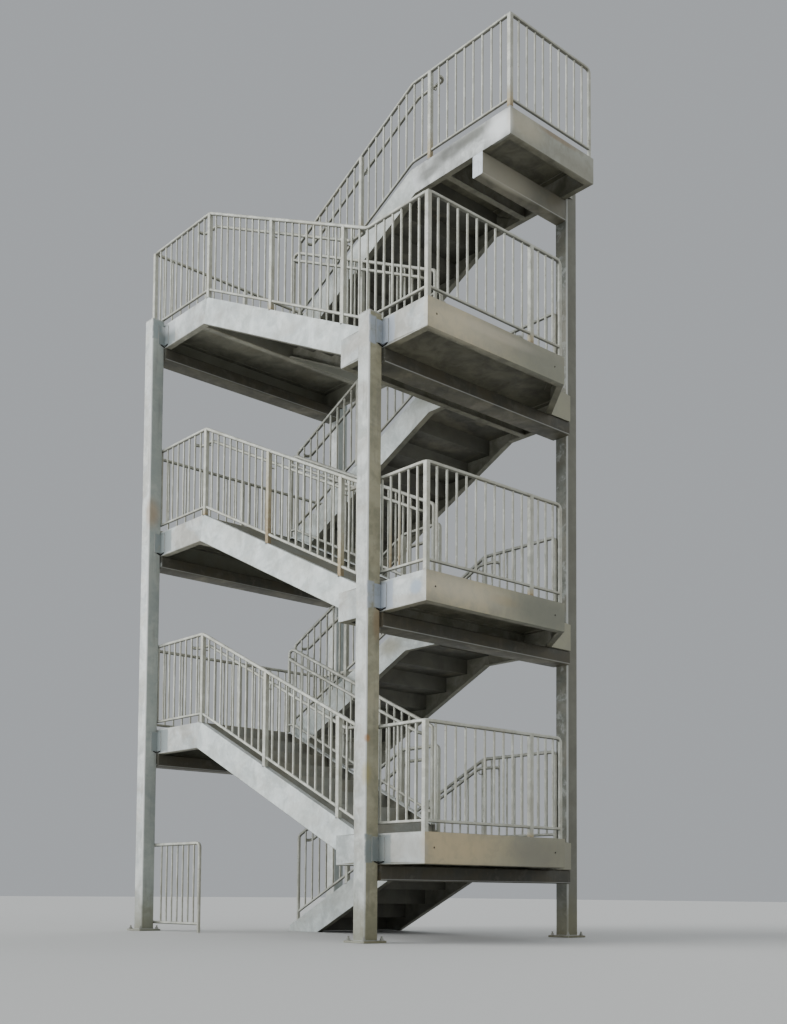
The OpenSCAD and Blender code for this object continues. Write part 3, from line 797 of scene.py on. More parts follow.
    def _channel_marks(self) -> tuple[Patch, ...]:
        """Sets out the paint, stains and painted light and shade on the floors' channels.

        Returns:
            Paint on the clip angles, then stains on the front channels, then painted light and
            shade and a stain on the end channels.
        """
        front, end = -S.half_width, S.x_right
        painted = clip_patches(
            RIGHT_DECKS, self.face_right, reach=0.178, y=-1.470, depth=0.070, colours=self.blue
        ) + clip_patches(
            LEFT_DECKS, self.face_left, reach=0.244, y=-1.470, depth=0.070, colours=self.slate
        )
        return painted + (
            Patch((2.423, front, 3.406), (0.080, 0.05, 0.066), "a3b0bd", 0.85, 0.35, True),
            Patch((2.199, front, 3.494), (0.070, 0.05, 0.030), "e4e8e6", 0.6, 0.5, True),
            # On the end channels the pale marks towards -Y and the dark ones towards +Y are painted
            # light and shade, lighter at the open side and darker towards +Y; the brown one is a
            # stain
            Patch((end, -0.35, 3.420), (0.05, 0.20, 0.045), "9d8558", 0.35, 0.6, True),
            Patch((end, -0.45, 6.130), (0.05, 0.55, 0.050), "c2b9a6", 0.45, 0.5, True),
            Patch((end, -1.05, 0.940), (0.05, 0.60, 0.150), "c8b48c", 0.50, 0.8, True),
            Patch((end, -1.00, 3.430), (0.05, 0.60, 0.110), "dcd3bb", 0.45, 0.8, True),
            Patch((end, 0.300, 3.390), (0.05, 0.50, 0.200), "6f7165", 0.70, 0.6, True),
            Patch((end, 0.350, 6.020), (0.05, 0.45, 0.160), "75776b", 0.45, 0.6, True),
            Patch((end, 0.250, 0.900), (0.05, 0.50, 0.160), "7b7768", 0.45, 0.6, True),
            Patch((end, -1.05, 6.080), (0.05, 0.55, 0.160), "d8ceb3", 0.48, 0.8, True),
            Patch((2.265, front, 0.900), (0.35, 0.05, 0.110), "a9aaa4", 0.50, 0.6, True),
            Patch((-2.10, front, 7.60), (0.25, 0.05, 0.10), "eef1f2", 0.50, 0.6, True),
        )

    def _stringer_marks(self) -> tuple[Patch, ...]:
        """Sets out the marks on the stringers.

        Returns:
            Marks on the front stringers, then on the inner ones.
        """
        front, inner = -S.half_width, S.well
        return (
            Patch((1.395, front, 6.095), (0.090, 0.05, 0.085), "f4f6f6", 0.85, 0.30, True),
            Patch((-0.900, front, 7.300), (0.30, 0.05, 0.05), "9a9c98", 0.30, 0.7, True),
            Patch((0.400, front, 6.650), (0.22, 0.05, 0.05), "a2a29a", 0.30, 0.7, True),
            Patch((0.450, inner, 3.330), (0.16, 0.05, 0.09), "8f8768", 0.60, 0.7, True),
            Patch((0.780, inner, 3.430), (0.13, 0.05, 0.07), "75735f", 0.60, 0.7, True),
            Patch((1.050, inner, 3.480), (0.12, 0.05, 0.06), "94885f", 0.50, 0.7, True),
            Patch((1.000, inner, 6.080), (0.16, 0.05, 0.08), "8b8a78", 0.50, 0.7, True),
        )

    def _top_floor_marks(self) -> tuple[Patch, ...]:
        """Sets out the marks on the top floor's channels.

        Returns:
            Smudges where water stood behind the channel, and places that it washed clean.
        """
        inner, end = S.well, S.x_top_end
        return (
            Patch((1.400, inner, 8.800), (0.30, 0.05, 0.085), "5c5e58", 0.85, 0.6, True),
            Patch((1.040, inner, 8.720), (0.20, 0.05, 0.060), "696b65", 0.75, 0.6, True),
            Patch((1.800, inner, 8.820), (0.24, 0.05, 0.060), "666860", 0.75, 0.6, True),
            Patch((2.170, inner, 8.740), (0.20, 0.05, 0.130), "eef2f1", 0.85, 0.6, True),
            Patch((0.620, inner, 8.720), (0.25, 0.05, 0.090), "e8ecee", 0.60, 0.6, True),
            Patch((end, 0.250, 8.760), (0.05, 0.30, 0.140), "c2b99f", 0.55, 0.6, True),
            Patch((end, 1.150, 8.660), (0.05, 0.40, 0.110), "8b8878", 0.50, 0.6, True),
            Patch((end, 0.800, 8.860), (0.05, 0.30, 0.030), "87693f", 0.50, 0.6, True),
        )


# Mesh helpers


def new_object(name: str, mesh: bpy.types.Mesh) -> Piece:
    """Links a mesh to the scene as an object at the origin.

    Args:
        name: the object's name.
        mesh: its mesh.

    Returns:
        The object.
    """
    made = bpy.data.objects.new(name, mesh)
    bpy.context.scene.collection.objects.link(made)
    return made


def remove(piece: Piece) -> None:
    """Deletes an object and its mesh.

    Args:
        piece: the object, which is used up.
    """
    mesh = piece.data
    bpy.data.objects.remove(piece)
    bpy.data.meshes.remove(mesh)


def settle(piece: Piece, nodes: Iterable[str] = ()) -> Piece:
    """Says what a finished piece rides on and which CAD nodes it replaces, and logs its triangles.

    Args:
        piece: the finished mesh object.
        nodes: the CAD nodes that it stands for.

    Returns:
        The same piece.
    """
    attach(piece, "root")
    names = list(nodes)
    if names:
        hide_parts(*names)
    faces = sum(len(p.vertices) - 2 for p in piece.data.polygons)
    LOG.info("%s: %d triangles before modifiers", piece.name, faces)
    return piece


def add_bevel(piece: Piece, width: float, segments: int = 2, angle: float = 40.0) -> None:
    """Softens a piece's hard edges with a bevel and keeps its flat faces flat.

    Args:
        piece: the object.
        width: width of the bevel in metres.
        segments: faces across it.
        angle: edges sharper than this many degrees are rounded.
    """
    piece.data.polygons.foreach_set("use_smooth", [False] * len(piece.data.polygons))
    bevel = piece.modifiers.new("rounded_edges", "BEVEL")
    bevel.width = width
    bevel.segments = segments
    bevel.limit_method = "ANGLE"
    bevel.angle_limit = math.radians(angle)


def copy_of_node(node: str, name: str, merge: float = 2e-5, flat: float = 0.5) -> Piece:
    """Copies a CAD node as one clean mesh.

    Args:
        node: the node's name.
        name: the new piece's name.
        merge: points nearer than this many metres become one.
        flat: faces that differ by less than this many degrees become one.

    Returns:
        The copy, its doubles merged and its flat faces joined.
    """
    work = bmesh.new()
    work.from_mesh(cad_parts[node].data)
    bmesh.ops.remove_doubles(work, verts=work.verts, dist=merge)
    bmesh.ops.dissolve_limit(
        work, angle_limit=math.radians(flat), verts=work.verts, edges=work.edges
    )
    mesh = bpy.data.meshes.new(name)
    work.to_mesh(mesh)
    work.free()
    return new_object(name, mesh)


def bake_nodes(piece: Piece) -> Piece:
    """Turns a piece with live modifiers into a plain mesh and removes the modifiers.

    Args:
        piece: the object with the modifiers.

    Returns:
        The same object with its new mesh.
    """
    seen = bpy.context.evaluated_depsgraph_get()
    mesh = bpy.data.meshes.new_from_object(piece.evaluated_get(seen), depsgraph=seen)
    piece.modifiers.clear()
    old = piece.data
    piece.data = mesh
    bpy.data.meshes.remove(old)
    mesh.name = piece.name
    return piece


def joined(name: str, parts: Sequence[Piece]) -> Piece:
    """Joins plain mesh objects into one piece.

    Args:
        name: the new piece's name.
        parts: the objects, which are used up.

    Returns:
        The joined piece, with each part's material kept.
    """
    materials: list[Paint] = []
    work = bmesh.new()
    for part in parts:
        start = len(work.faces)
        work.from_mesh(part.data)
        work.faces.ensure_lookup_table()
        table = []
        for material in part.data.materials:
            if material not in materials:
                materials.append(material)
            table.append(materials.index(material))
        for face in work.faces[start:]:
            face.material_index = table[face.material_index] if table else 0
    mesh = bpy.data.meshes.new(name)
    work.to_mesh(mesh)
    work.free()
    for material in materials:
        mesh.materials.append(material)
    for part in parts:
        remove(part)
    return new_object(name, mesh)


class Shelter:
    """Works out how much of the sky the steel round a face hides; the finishes paint shade and
    grime by it.
    """

    # Turn from one direction to the next that spreads them evenly over a sphere
    golden_turn = math.radians(137.50776)
    # Rays come from no lower than this, as the Z of a direction one long: the sky that lights a
    # face and the rain that washes it
    lowest = -0.12
    # Rays that graze a face more than this are left out, as the cosine to its normal
    grazing = 0.15
    # Rays start this far off the face, in metres
    off = 0.004

    def __init__(self, reach: float = 1.3, rays: int = 60) -> None:
        """Gathers the whole frame and the directions that rain comes from.

        Args:
            reach: steel farther away than this many metres gives no shelter.
            rays: directions tried over the whole sphere, before those from below are left out.
        """
        verts: list[Vector] = []
        faces: list[list[int]] = []
        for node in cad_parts.values():
            start = len(verts)
            verts.extend(v.co.copy() for v in node.data.vertices)
            faces.extend([start + i for i in p.vertices] for p in node.data.polygons)
        self.tree = BVHTree.FromPolygons(verts, faces)
        self.reach = reach
        self.ways: list[Vector] = []
        for i in range(rays):
            z = 1.0 - (2.0 * i + 1.0) / rays
            if z > self.lowest:
                turn, flat = i * self.golden_turn, math.sqrt(1.0 - z * z)
                self.ways.append(Vector((flat * math.cos(turn), flat * math.sin(turn), z)))

    def mark(self, piece: Piece) -> None:
        """Writes the share of each face's sky that steel hides, from 0 to 1, to the piece's
        attribute for painted shade and grime.

        Args:
            piece: the mesh object.
        """
        mesh = piece.data
        mesh.calc_loop_triangles()
        # The rays of a many-sided face start in the middle of its widest triangle
        widest: dict[int, tuple[float, Vector]] = {}
        for tri in mesh.loop_triangles:
            if tri.area > widest.get(tri.polygon_index, (-1.0, None))[0]:
                corners = [mesh.vertices[i].co for i in tri.vertices]
                widest[tri.polygon_index] = (tri.area, sum(corners, Vector()) / 3)
        values = []
        for face in mesh.polygons:
            start = widest[face.index][1] + face.normal * self.off
            seen = [way for way in self.ways if way.dot(face.normal) > self.grazing]
            hits = sum(self.tree.ray_cast(start, way, self.reach)[0] is not None for way in seen)
            values.append(hits / len(seen) if seen else 1.0)
        mesh.attributes.new("shade_and_grime", "FLOAT", "FACE").data.foreach_set("value", values)


def rounded_square(
    half_x: float, half_y: float, radius: float, steps: int = 5
) -> list[tuple[float, float]]:
    """Draws a rectangle with round corners.

    Args:
        half_x: half of its width.
        half_y: half of its height.
        radius: radius of its corners.
        steps: straight pieces in each corner.

    Returns:
        Its outline, anticlockwise from the +X side.
    """
    points = []
    for k, (sx, sy) in enumerate(((1, 1), (-1, 1), (-1, -1), (1, -1))):
        x, y = sx * (half_x - radius), sy * (half_y - radius)
        for i in range(steps + 1):
            a = math.radians(90 * k + 90 * i / steps)
            points.append((x + radius * math.cos(a), y + radius * math.sin(a)))
    return points


def loft(work: bmesh.types.BMesh, rings: Sequence[Sequence[Point]]) -> None:
    """Skins a row of closed rings of points and closes both ends.

    Args:
        work: the mesh that gets the faces.
        rings: rings with the same number of points, bottom first and anticlockwise from above.
    """
    rows = [[work.verts.new(p) for p in ring] for ring in rings]
    count = len(rows[0])
    for low, high in zip(rows, rows[1:]):
        for i in range(count):
            j = (i + 1) % count
            work.faces.new((low[i], low[j], high[j], high[i]))
    work.faces.new(list(reversed(rows[0])))
    work.faces.new(rows[-1])


def object_from(
    work: bmesh.types.BMesh, name: str, material: Paint, sharp: float = 35.0
) -> Piece:
    """Turns a working mesh into a smooth-shaded object with its hard edges kept.

    Args:
        work: the working mesh, which is used up.
        name: the object's name.
        material: its only material.
        sharp: edges sharper than this many degrees stay hard.

    Returns:
        The object.
    """
    mesh = bpy.data.meshes.new(name)
    bmesh.ops.recalc_face_normals(work, faces=work.faces)
    work.to_mesh(mesh)
    work.free()
    mesh.materials.append(material)
    mesh.polygons.foreach_set("use_smooth", [True] * len(mesh.polygons))
    mesh.set_sharp_from_angle(angle=math.radians(sharp))
    return new_object(name, mesh)


def points_object(name: str, points: Sequence[Point]) -> Piece:
    """Makes an object with loose points for a node tree to work on.

    Args:
        name: the object's name.
        points: the points.

    Returns:
        The object.
    """
    mesh = bpy.data.meshes.new(name)
    mesh.from_pydata([tuple(p) for p in points], [], [])
    return new_object(name, mesh)


def bend_sweeps(line: Sequence[Point], slight: float = 40.0, wide: float = 3.0) -> list[float]:
    """Works out how much wider than a right-angled bend each bend of a polyline is swept.

    Args:
        line: the polyline's points.
        slight: bends up to this many degrees are swept wide.
        wide: how many times wider.

    Returns:
        A factor for each point.
    """
    spots = [Vector(p) for p in line]
    sweeps = [1.0] * len(spots)
    for i in range(1, len(spots) - 1):
        turn = math.degrees((spots[i] - spots[i - 1]).angle(spots[i + 1] - spots[i], 0.0))
        sweeps[i] = wide if turn < slight else 1.0
    return sweeps


def lines_object(name: str, lines: Sequence[Sequence[Point]], closed: bool = False) -> Piece:
    """Makes an object with separate polylines for a node tree to work on.

    Args:
        name: the object's name.
        lines: the polylines' points.
        closed: joins each line's last point to its first.

    Returns:
        The object, with how wide each bend is swept as an attribute.
    """
    verts: list[Point] = []
    edges: list[tuple[int, int]] = []
    for line in lines:
        start = len(verts)
        verts.extend(tuple(p) for p in line)
        edges.extend((start + i, start + i + 1) for i in range(len(line) - 1))
        if closed:
            edges.append((len(verts) - 1, start))
    mesh = bpy.data.meshes.new(name)
    mesh.from_pydata(verts, edges, [])
    sweep = mesh.attributes.new("sweep", "FLOAT", "POINT")
    sweep.data.foreach_set("value", [value for line in lines for value in bend_sweeps(line)])
    return new_object(name, mesh)


# Geometry node trees


class NodeTools:
    """Holds the finishes, and the node trees that repeat bars, fasteners, tubes and beads."""

    def __init__(self) -> None:
        """Builds each finish and each tree once."""
        self.paints = Paintbox()
        self.bars = self._bars()
        self.tubes = self._tubes()
        self.beads = self._beads()
        self.bolts = self._bolts()

    def _start(self, name: str, sizes: dict[str, float]) -> tuple[Tree, dict[str, Socket]]:
        """Starts a tree with a mesh in and out, named sizes and a material input.

        Args:
            name: the tree's name.
            sizes: the sizes' names and usual values, in metres.

        Returns:
            The tree, and its inputs by name.
        """
        tree = bpy.data.node_groups.new(name, "GeometryNodeTree")
        face = tree.interface
        face.new_socket("Mesh", in_out="INPUT", socket_type="NodeSocketGeometry")
        face.new_socket("Mesh", in_out="OUTPUT", socket_type="NodeSocketGeometry")
        for size, value in sizes.items():
            socket = face.new_socket(size, in_out="INPUT", socket_type="NodeSocketFloat")
            socket.default_value = value
        face.new_socket("Finish", in_out="INPUT", socket_type="NodeSocketMaterial")
        given = add(tree, "NodeGroupInput").outputs
        return tree, {name: given[name] for name in ("Mesh", *sizes, "Finish")}

    def _end(self, tree: Tree, finish: Socket, shape: Socket, smooth: bool) -> Tree:
        """Ends a tree with realized, shaded and painted geometry.

        Args:
            tree: the tree.
            finish: its material input.
            shape: the geometry.
            smooth: shades it smooth.

        Returns:
            The same tree.
        """
        real = add(tree, "GeometryNodeRealizeInstances", links={"Geometry": shape})
        shaded = add(tree, "GeometryNodeSetShadeSmooth", links={
            "Geometry": real.outputs[0], "Shade Smooth": smooth,
        })
        painted = add(tree, "GeometryNodeSetMaterial", links={
            "Geometry": shaded.outputs[0], "Material": finish,
        })
        add(tree, "NodeGroupOutput", links=(painted.outputs[0],))
        return tree

    def _bars(self) -> Tree:
        """Upright square bars with softened corners, one on each point.

        Returns:
            The tree.
        """
        tree, given = self._start("upright_bars", {"Width": 0.019, "Length": 0.95, "Corner": 0.002})
        square = add(tree, "GeometryNodeCurvePrimitiveQuadrilateral", {"mode": "RECTANGLE"}, {
            "Width": given["Width"], "Height": given["Width"],
        })
        rounded = add(tree, "GeometryNodeFilletCurve", {"mode": "POLY"}, {
            "Curve": square.outputs[0], "Radius": given["Corner"], "Limit Radius": True, "Count": 2,
        })
        tip = add(tree, "ShaderNodeCombineXYZ", links={"Z": given["Length"]})
        line = add(tree, "GeometryNodeCurvePrimitiveLine", links={
            "Start": (0, 0, 0), "End": tip.outputs[0],
        })
        bar = add(tree, "GeometryNodeCurveToMesh", links={
            "Curve": line.outputs[0], "Profile Curve": rounded.outputs[0], "Fill Caps": True,
        })
        spread = add(tree, "GeometryNodeInstanceOnPoints", links={
            "Points": given["Mesh"], "Instance": bar.outputs[0],
        })
        return self._end(tree, given["Finish"], spread.outputs[0], False)

    def _tubes(self) -> Tree:
        """Round tube along each polyline, its bends swept.

        Returns:
            The tree.
        """
        tree, given = self._start("swept_tubes", {"Radius": 0.021, "Bend": 0.06})
        path = add(tree, "GeometryNodeMeshToCurve", links={"Mesh": given["Mesh"]})
        sweep = add(tree, "GeometryNodeInputNamedAttribute", {"data_type": "FLOAT"}, {
            "Name": "sweep",
        }).outputs["Attribute"]
        radius = add(tree, MATH, MULTIPLY, (given["Bend"], sweep))
        bent = add(tree, "GeometryNodeFilletCurve", {"mode": "POLY"}, {
            "Curve": path.outputs[0], "Radius": radius.outputs[0], "Limit Radius": True, "Count": 6,
        })
        ring = add(tree, "GeometryNodeCurvePrimitiveCircle", {"mode": "RADIUS"}, {
            "Resolution": 16, "Radius": given["Radius"],
        })
        tube = add(tree, "GeometryNodeCurveToMesh", links={
            "Curve": bent.outputs[0], "Profile Curve": ring.outputs[0], "Fill Caps": True,
        })
        return self._end(tree, given["Finish"], tube.outputs[0], True)

    def _beads(self) -> Tree:
        """Weld bead along each polyline, thick and thin as a hand weld is.

        Returns:
            The tree.
        """
        tree, given = self._start("weld_beads", {"Radius": 0.005, "Step": 0.012})
        path = add(tree, "GeometryNodeMeshToCurve", links={"Mesh": given["Mesh"]})
        even = add(tree, "GeometryNodeResampleCurve", {"mode": "LENGTH"}, {
            "Curve": path.outputs[0], "Length": given["Step"],
        })
        noise = add(tree, "ShaderNodeTexNoise", links={"Scale": 70.0, "Detail": 1.0})
        swell = add(tree, MAP_RANGE, links=(noise.outputs["Fac"], 0.3, 0.7, 0.7, 1.35))
        ring = add(tree, "GeometryNodeCurvePrimitiveCircle", {"mode": "RADIUS"}, {
            "Resolution": 6, "Radius": given["Radius"],
        })
        bead = add(tree, "GeometryNodeCurveToMesh", links={
            "Curve": even.outputs[0], "Profile Curve": ring.outputs[0], "Scale": swell.outputs[0],
            "Fill Caps": True,
        })
        return self._end(tree, given["Finish"], bead.outputs[0], True)

    def _bolts(self) -> Tree:
        """Washer, hex head and stud end on each point, standing out along its attribute.

        Returns:
            The tree.
        """
        tree, given = self._start("hex_fasteners", {"Across": 0.030, "Head": 0.013, "Stud": 0.012})
        washer = 0.004
        head_top = add(tree, MATH, {"operation": "ADD"}, (given["Head"], washer)).outputs[0]
        group = add(tree, "GeometryNodeJoinGeometry")
        # Radius as a share of the width across flats, depth, where it starts, and sides
        for share, depth, start, sides in (
            (0.95, washer, 0.0, 20),
            (0.577, given["Head"], washer, 6),
            (0.33, given["Stud"], head_top, 12),
        ):
            radius = add(tree, MATH, MULTIPLY, (given["Across"], share))
            shape = add(tree, "GeometryNodeMeshCylinder", {"fill_type": "NGON"}, {
                "Vertices": sides, "Radius": radius.outputs[0], "Depth": depth,
            })
            middle = add(tree, MATH, MULTIPLY_ADD, (depth, 0.5, start))
            lift = add(tree, "ShaderNodeCombineXYZ", links={"Z": middle.outputs[0]})
            moved = add(tree, "GeometryNodeTransform", links={
                "Geometry": shape.outputs[0], "Translation": lift.outputs[0],
            })
            tree.links.new(moved.outputs[0], group.inputs[0])
        out = add(tree, "GeometryNodeInputNamedAttribute", {"data_type": "FLOAT_VECTOR"}, {
            "Name": "out",
        }).outputs["Attribute"]
        turn = add(tree, "FunctionNodeAlignRotationToVector", {"axis": "Z"}, {"Vector": out})
        spread = add(tree, "GeometryNodeInstanceOnPoints", links={
            "Points": given["Mesh"], "Instance": group.outputs[0], "Rotation": turn.outputs[0],
        })
        return self._end(tree, given["Finish"], spread.outputs[0], False)

    def grow(self, tree: Tree, seed: Piece, finish: str, **sizes: float) -> Piece:
        """Runs a tree on an object's points or lines and keeps the plain mesh.

        Args:
            tree: one of this class's trees.
            seed: the object with the points or lines.
            finish: name of the result's finish.
            **sizes: the tree's named sizes, in small letters.

        Returns:
            The same object with its new mesh.
        """
        live = seed.modifiers.new(tree.name, "NODES")
        live.node_group = tree
        for item in tree.interface.items_tree:
            if item.in_out != "INPUT":
                continue
            key = item.name.lower()
            if key in sizes:
                live[item.identifier] = float(sizes[key])
            elif key == "finish":
                live[item.identifier] = self.paints[finish]
        return bake_nodes(seed)

    def fasteners(
        self, name: str, places: Sequence[tuple[Point, Point]], finish: str, **sizes: float
    ) -> Piece:
        """Sets hex fasteners on their places.

        Args:
            name: the object's name.
            places: for each, its point and the direction that it stands out.
            finish: name of their finish.
            **sizes: across the flats, head and stud.

        Returns:
            The object.
        """
        seed = points_object(name, [place for place, _ in places])
        out = seed.data.attributes.new("out", "FLOAT_VECTOR", "POINT")
        out.data.foreach_set("vector", [c for _, way in places for c in way])
        return self.grow(self.bolts, seed, finish, **sizes)


# Sub-assemblies


@dataclass
class Column:
    """A square tube column on its base plate, with anchors and welds."""

    name: str
    x: float
    y: float
    top: float
    corner: float = 0.022
    cap: float = 0.010
    cap_inset: float = 0.0015
    rim_inset: float = 0.004
    rim: float = 0.002
    bead_inset: float = 0.003
    plate: float = 0.150
    plate_t: float = 0.020
    plate_corner: float = 0.008
    anchor: float = 0.115
    finish: str = "galvanised_square_tube"

    def _ring(self, half: float, corner: float, z: float, steps: int = 6) -> list[Point]:
        """A round-cornered square about the column's middle."""
        outline = rounded_square(half, half, corner, steps)
        return [(self.x + px, self.y + py, z) for px, py in outline]

    def build(self, tools: NodeTools) -> Piece:
        """Makes the shaft, plate, anchors and welds as one piece.

        Args:
            tools: the finishes and node trees.

        Returns:
            The finished piece.
        """
        steel = tools.paints[self.finish]
        half = S.column_side / 2
        cap_foot = self.top - self.cap
        work = bmesh.new()
        loft(work, [self._ring(half, self.corner, z) for z in (self.plate_t, cap_foot)])
        # Cap plate with a softened rim
        rim = (
            (self.rim_inset, cap_foot), (self.cap_inset, cap_foot + self.rim),
            (self.cap_inset, self.top - self.rim), (self.rim_inset, self.top),
        )
        loft(work, [self._ring(half - inset, self.corner - inset, z) for inset, z in rim])
        shaft = object_from(work, self.name + "_shaft", steel)

        work = bmesh.new()
        rim = ((0.0, 0.0), (0.0, self.plate_t - self.rim), (self.rim, self.plate_t))
        loft(work, [self._ring(self.plate - inset, self.plate_corner, z, 3) for inset, z in rim])
        plate = object_from(work, self.name + "_plate", steel)

        spots = [
            ((self.x + sx * self.anchor, self.y + sy * self.anchor, self.plate_t), (0.0, 0.0, 1.0))
            for sx in (-1, 1)
            for sy in (-1, 1)
        ]
        anchors = tools.fasteners(
            self.name + "_anchors", spots, "zinc_plated_fastener",
            across=0.032, head=0.018, stud=0.022,
        )
        loops = [
            self._ring(half, self.corner, self.plate_t + self.rim, 4),
            self._ring(half - self.bead_inset, self.corner, cap_foot, 4),
        ]
        bead = tools.grow(
            tools.beads, lines_object(self.name + "_bead", loops, closed=True),
            "galvanised_weld_bead", radius=0.0055, step=0.014,
        )
        piece = joined(self.name + "_tube", [shaft, plate, anchors, bead])
        return settle(piece, [self.name])


@dataclass
class CrossBeam:
    """A box beam along Y with rounded corners and closed ends."""

    name: str
    x: float
    y_low: float
    z_top: float
    width: float
    height: float
    y_high: float = S.half_width
    corner: float = 0.018
    rim: float = 0.003
    plate_inset: float = 0.002
    plate_corner: float = 0.016
    plate_proud: float = 0.0005
    plate_depth: float = 0.006
    finish: str = "shaded_grimy_galvanised_box_tube"

    def _lofted(self, rings: Sequence[tuple[float, float, float]]) -> bmesh.types.BMesh:
        """Lofts rounded rectangles about the beam's middle line.

        Args:
            rings: for each, how far inside the beam's faces it lies, its corners and its Y.

        Returns:
            The working mesh.
        """
        middle = self.z_top - self.height / 2
        rows = []
        for inset, corner, y in rings:
            outline = rounded_square(self.width / 2 - inset, self.height / 2 - inset, corner)
            rows.append([(self.x + px, y, middle + pz) for px, pz in outline])
        work = bmesh.new()
        loft(work, rows)
        return work

    def mesh(self, tools: NodeTools) -> Piece:
        """Makes the beam's mesh, a softened box.

        Args:
            tools: the finishes and node trees.

        Returns:
            The object.
        """
        worn = self.corner - self.rim
        work = self._lofted((
            (self.rim, worn, self.y_low),
            (0.0, self.corner, self.y_low + self.rim),
            (0.0, self.corner, self.y_high - self.rim),
            (self.rim, worn, self.y_high),
        ))
        return object_from(work, self.name, tools.paints[self.finish])

    def end_plate(self, tools: NodeTools) -> Piece:
        """Makes the lighter plate that closes the beam's open end.

        Args:
            tools: the finishes and node trees.

        Returns:
            The object.
        """
        ends = (self.y_low - self.plate_proud, self.y_low + self.plate_depth)
        work = self._lofted([(self.plate_inset, self.plate_corner, y) for y in ends])
        return object_from(work, self.name + "_cap", tools.paints["galvanised_end_plate"])


@dataclass
class CrossBeams:
    """All the beams that carry the landings, laid flat but for the top one."""

    wide: float = S.beam_wide
    narrow: float = S.beam_narrow

    def build(self, tools: NodeTools) -> list[Piece]:
        """Makes one piece for each line of beams.

        Args:
            tools: the finishes and node trees.

        Returns:
            The finished pieces.
        """
        made = []
        for node, x, decks in (
            ("cross_beams_right", S.column_x_right, RIGHT_DECKS),
            ("cross_beams_left", S.column_x_left, LEFT_DECKS),
        ):
            beams = []
            for deck in decks:
                top = deck.steel_top - S.channel_depth
                beam = CrossBeam(
                    f"{node}_{deck.value}", x, -S.half_width, top, self.wide, self.narrow
                )
                beams.append(beam.mesh(tools))
            made.append(settle(joined(node + "_tubes", beams), [node]))
        top = Deck.TOP.steel_top - S.channel_depth
        beam = CrossBeam(
            "top_beam", S.column_x_right, S.well, top, self.narrow, self.wide,
            finish="stained_galvanised_box_tube",
        )
        piece = joined("top_cross_beam_tube", [beam.mesh(tools), beam.end_plate(tools)])
        made.append(settle(piece, ["top_cross_beam"]))
        return made


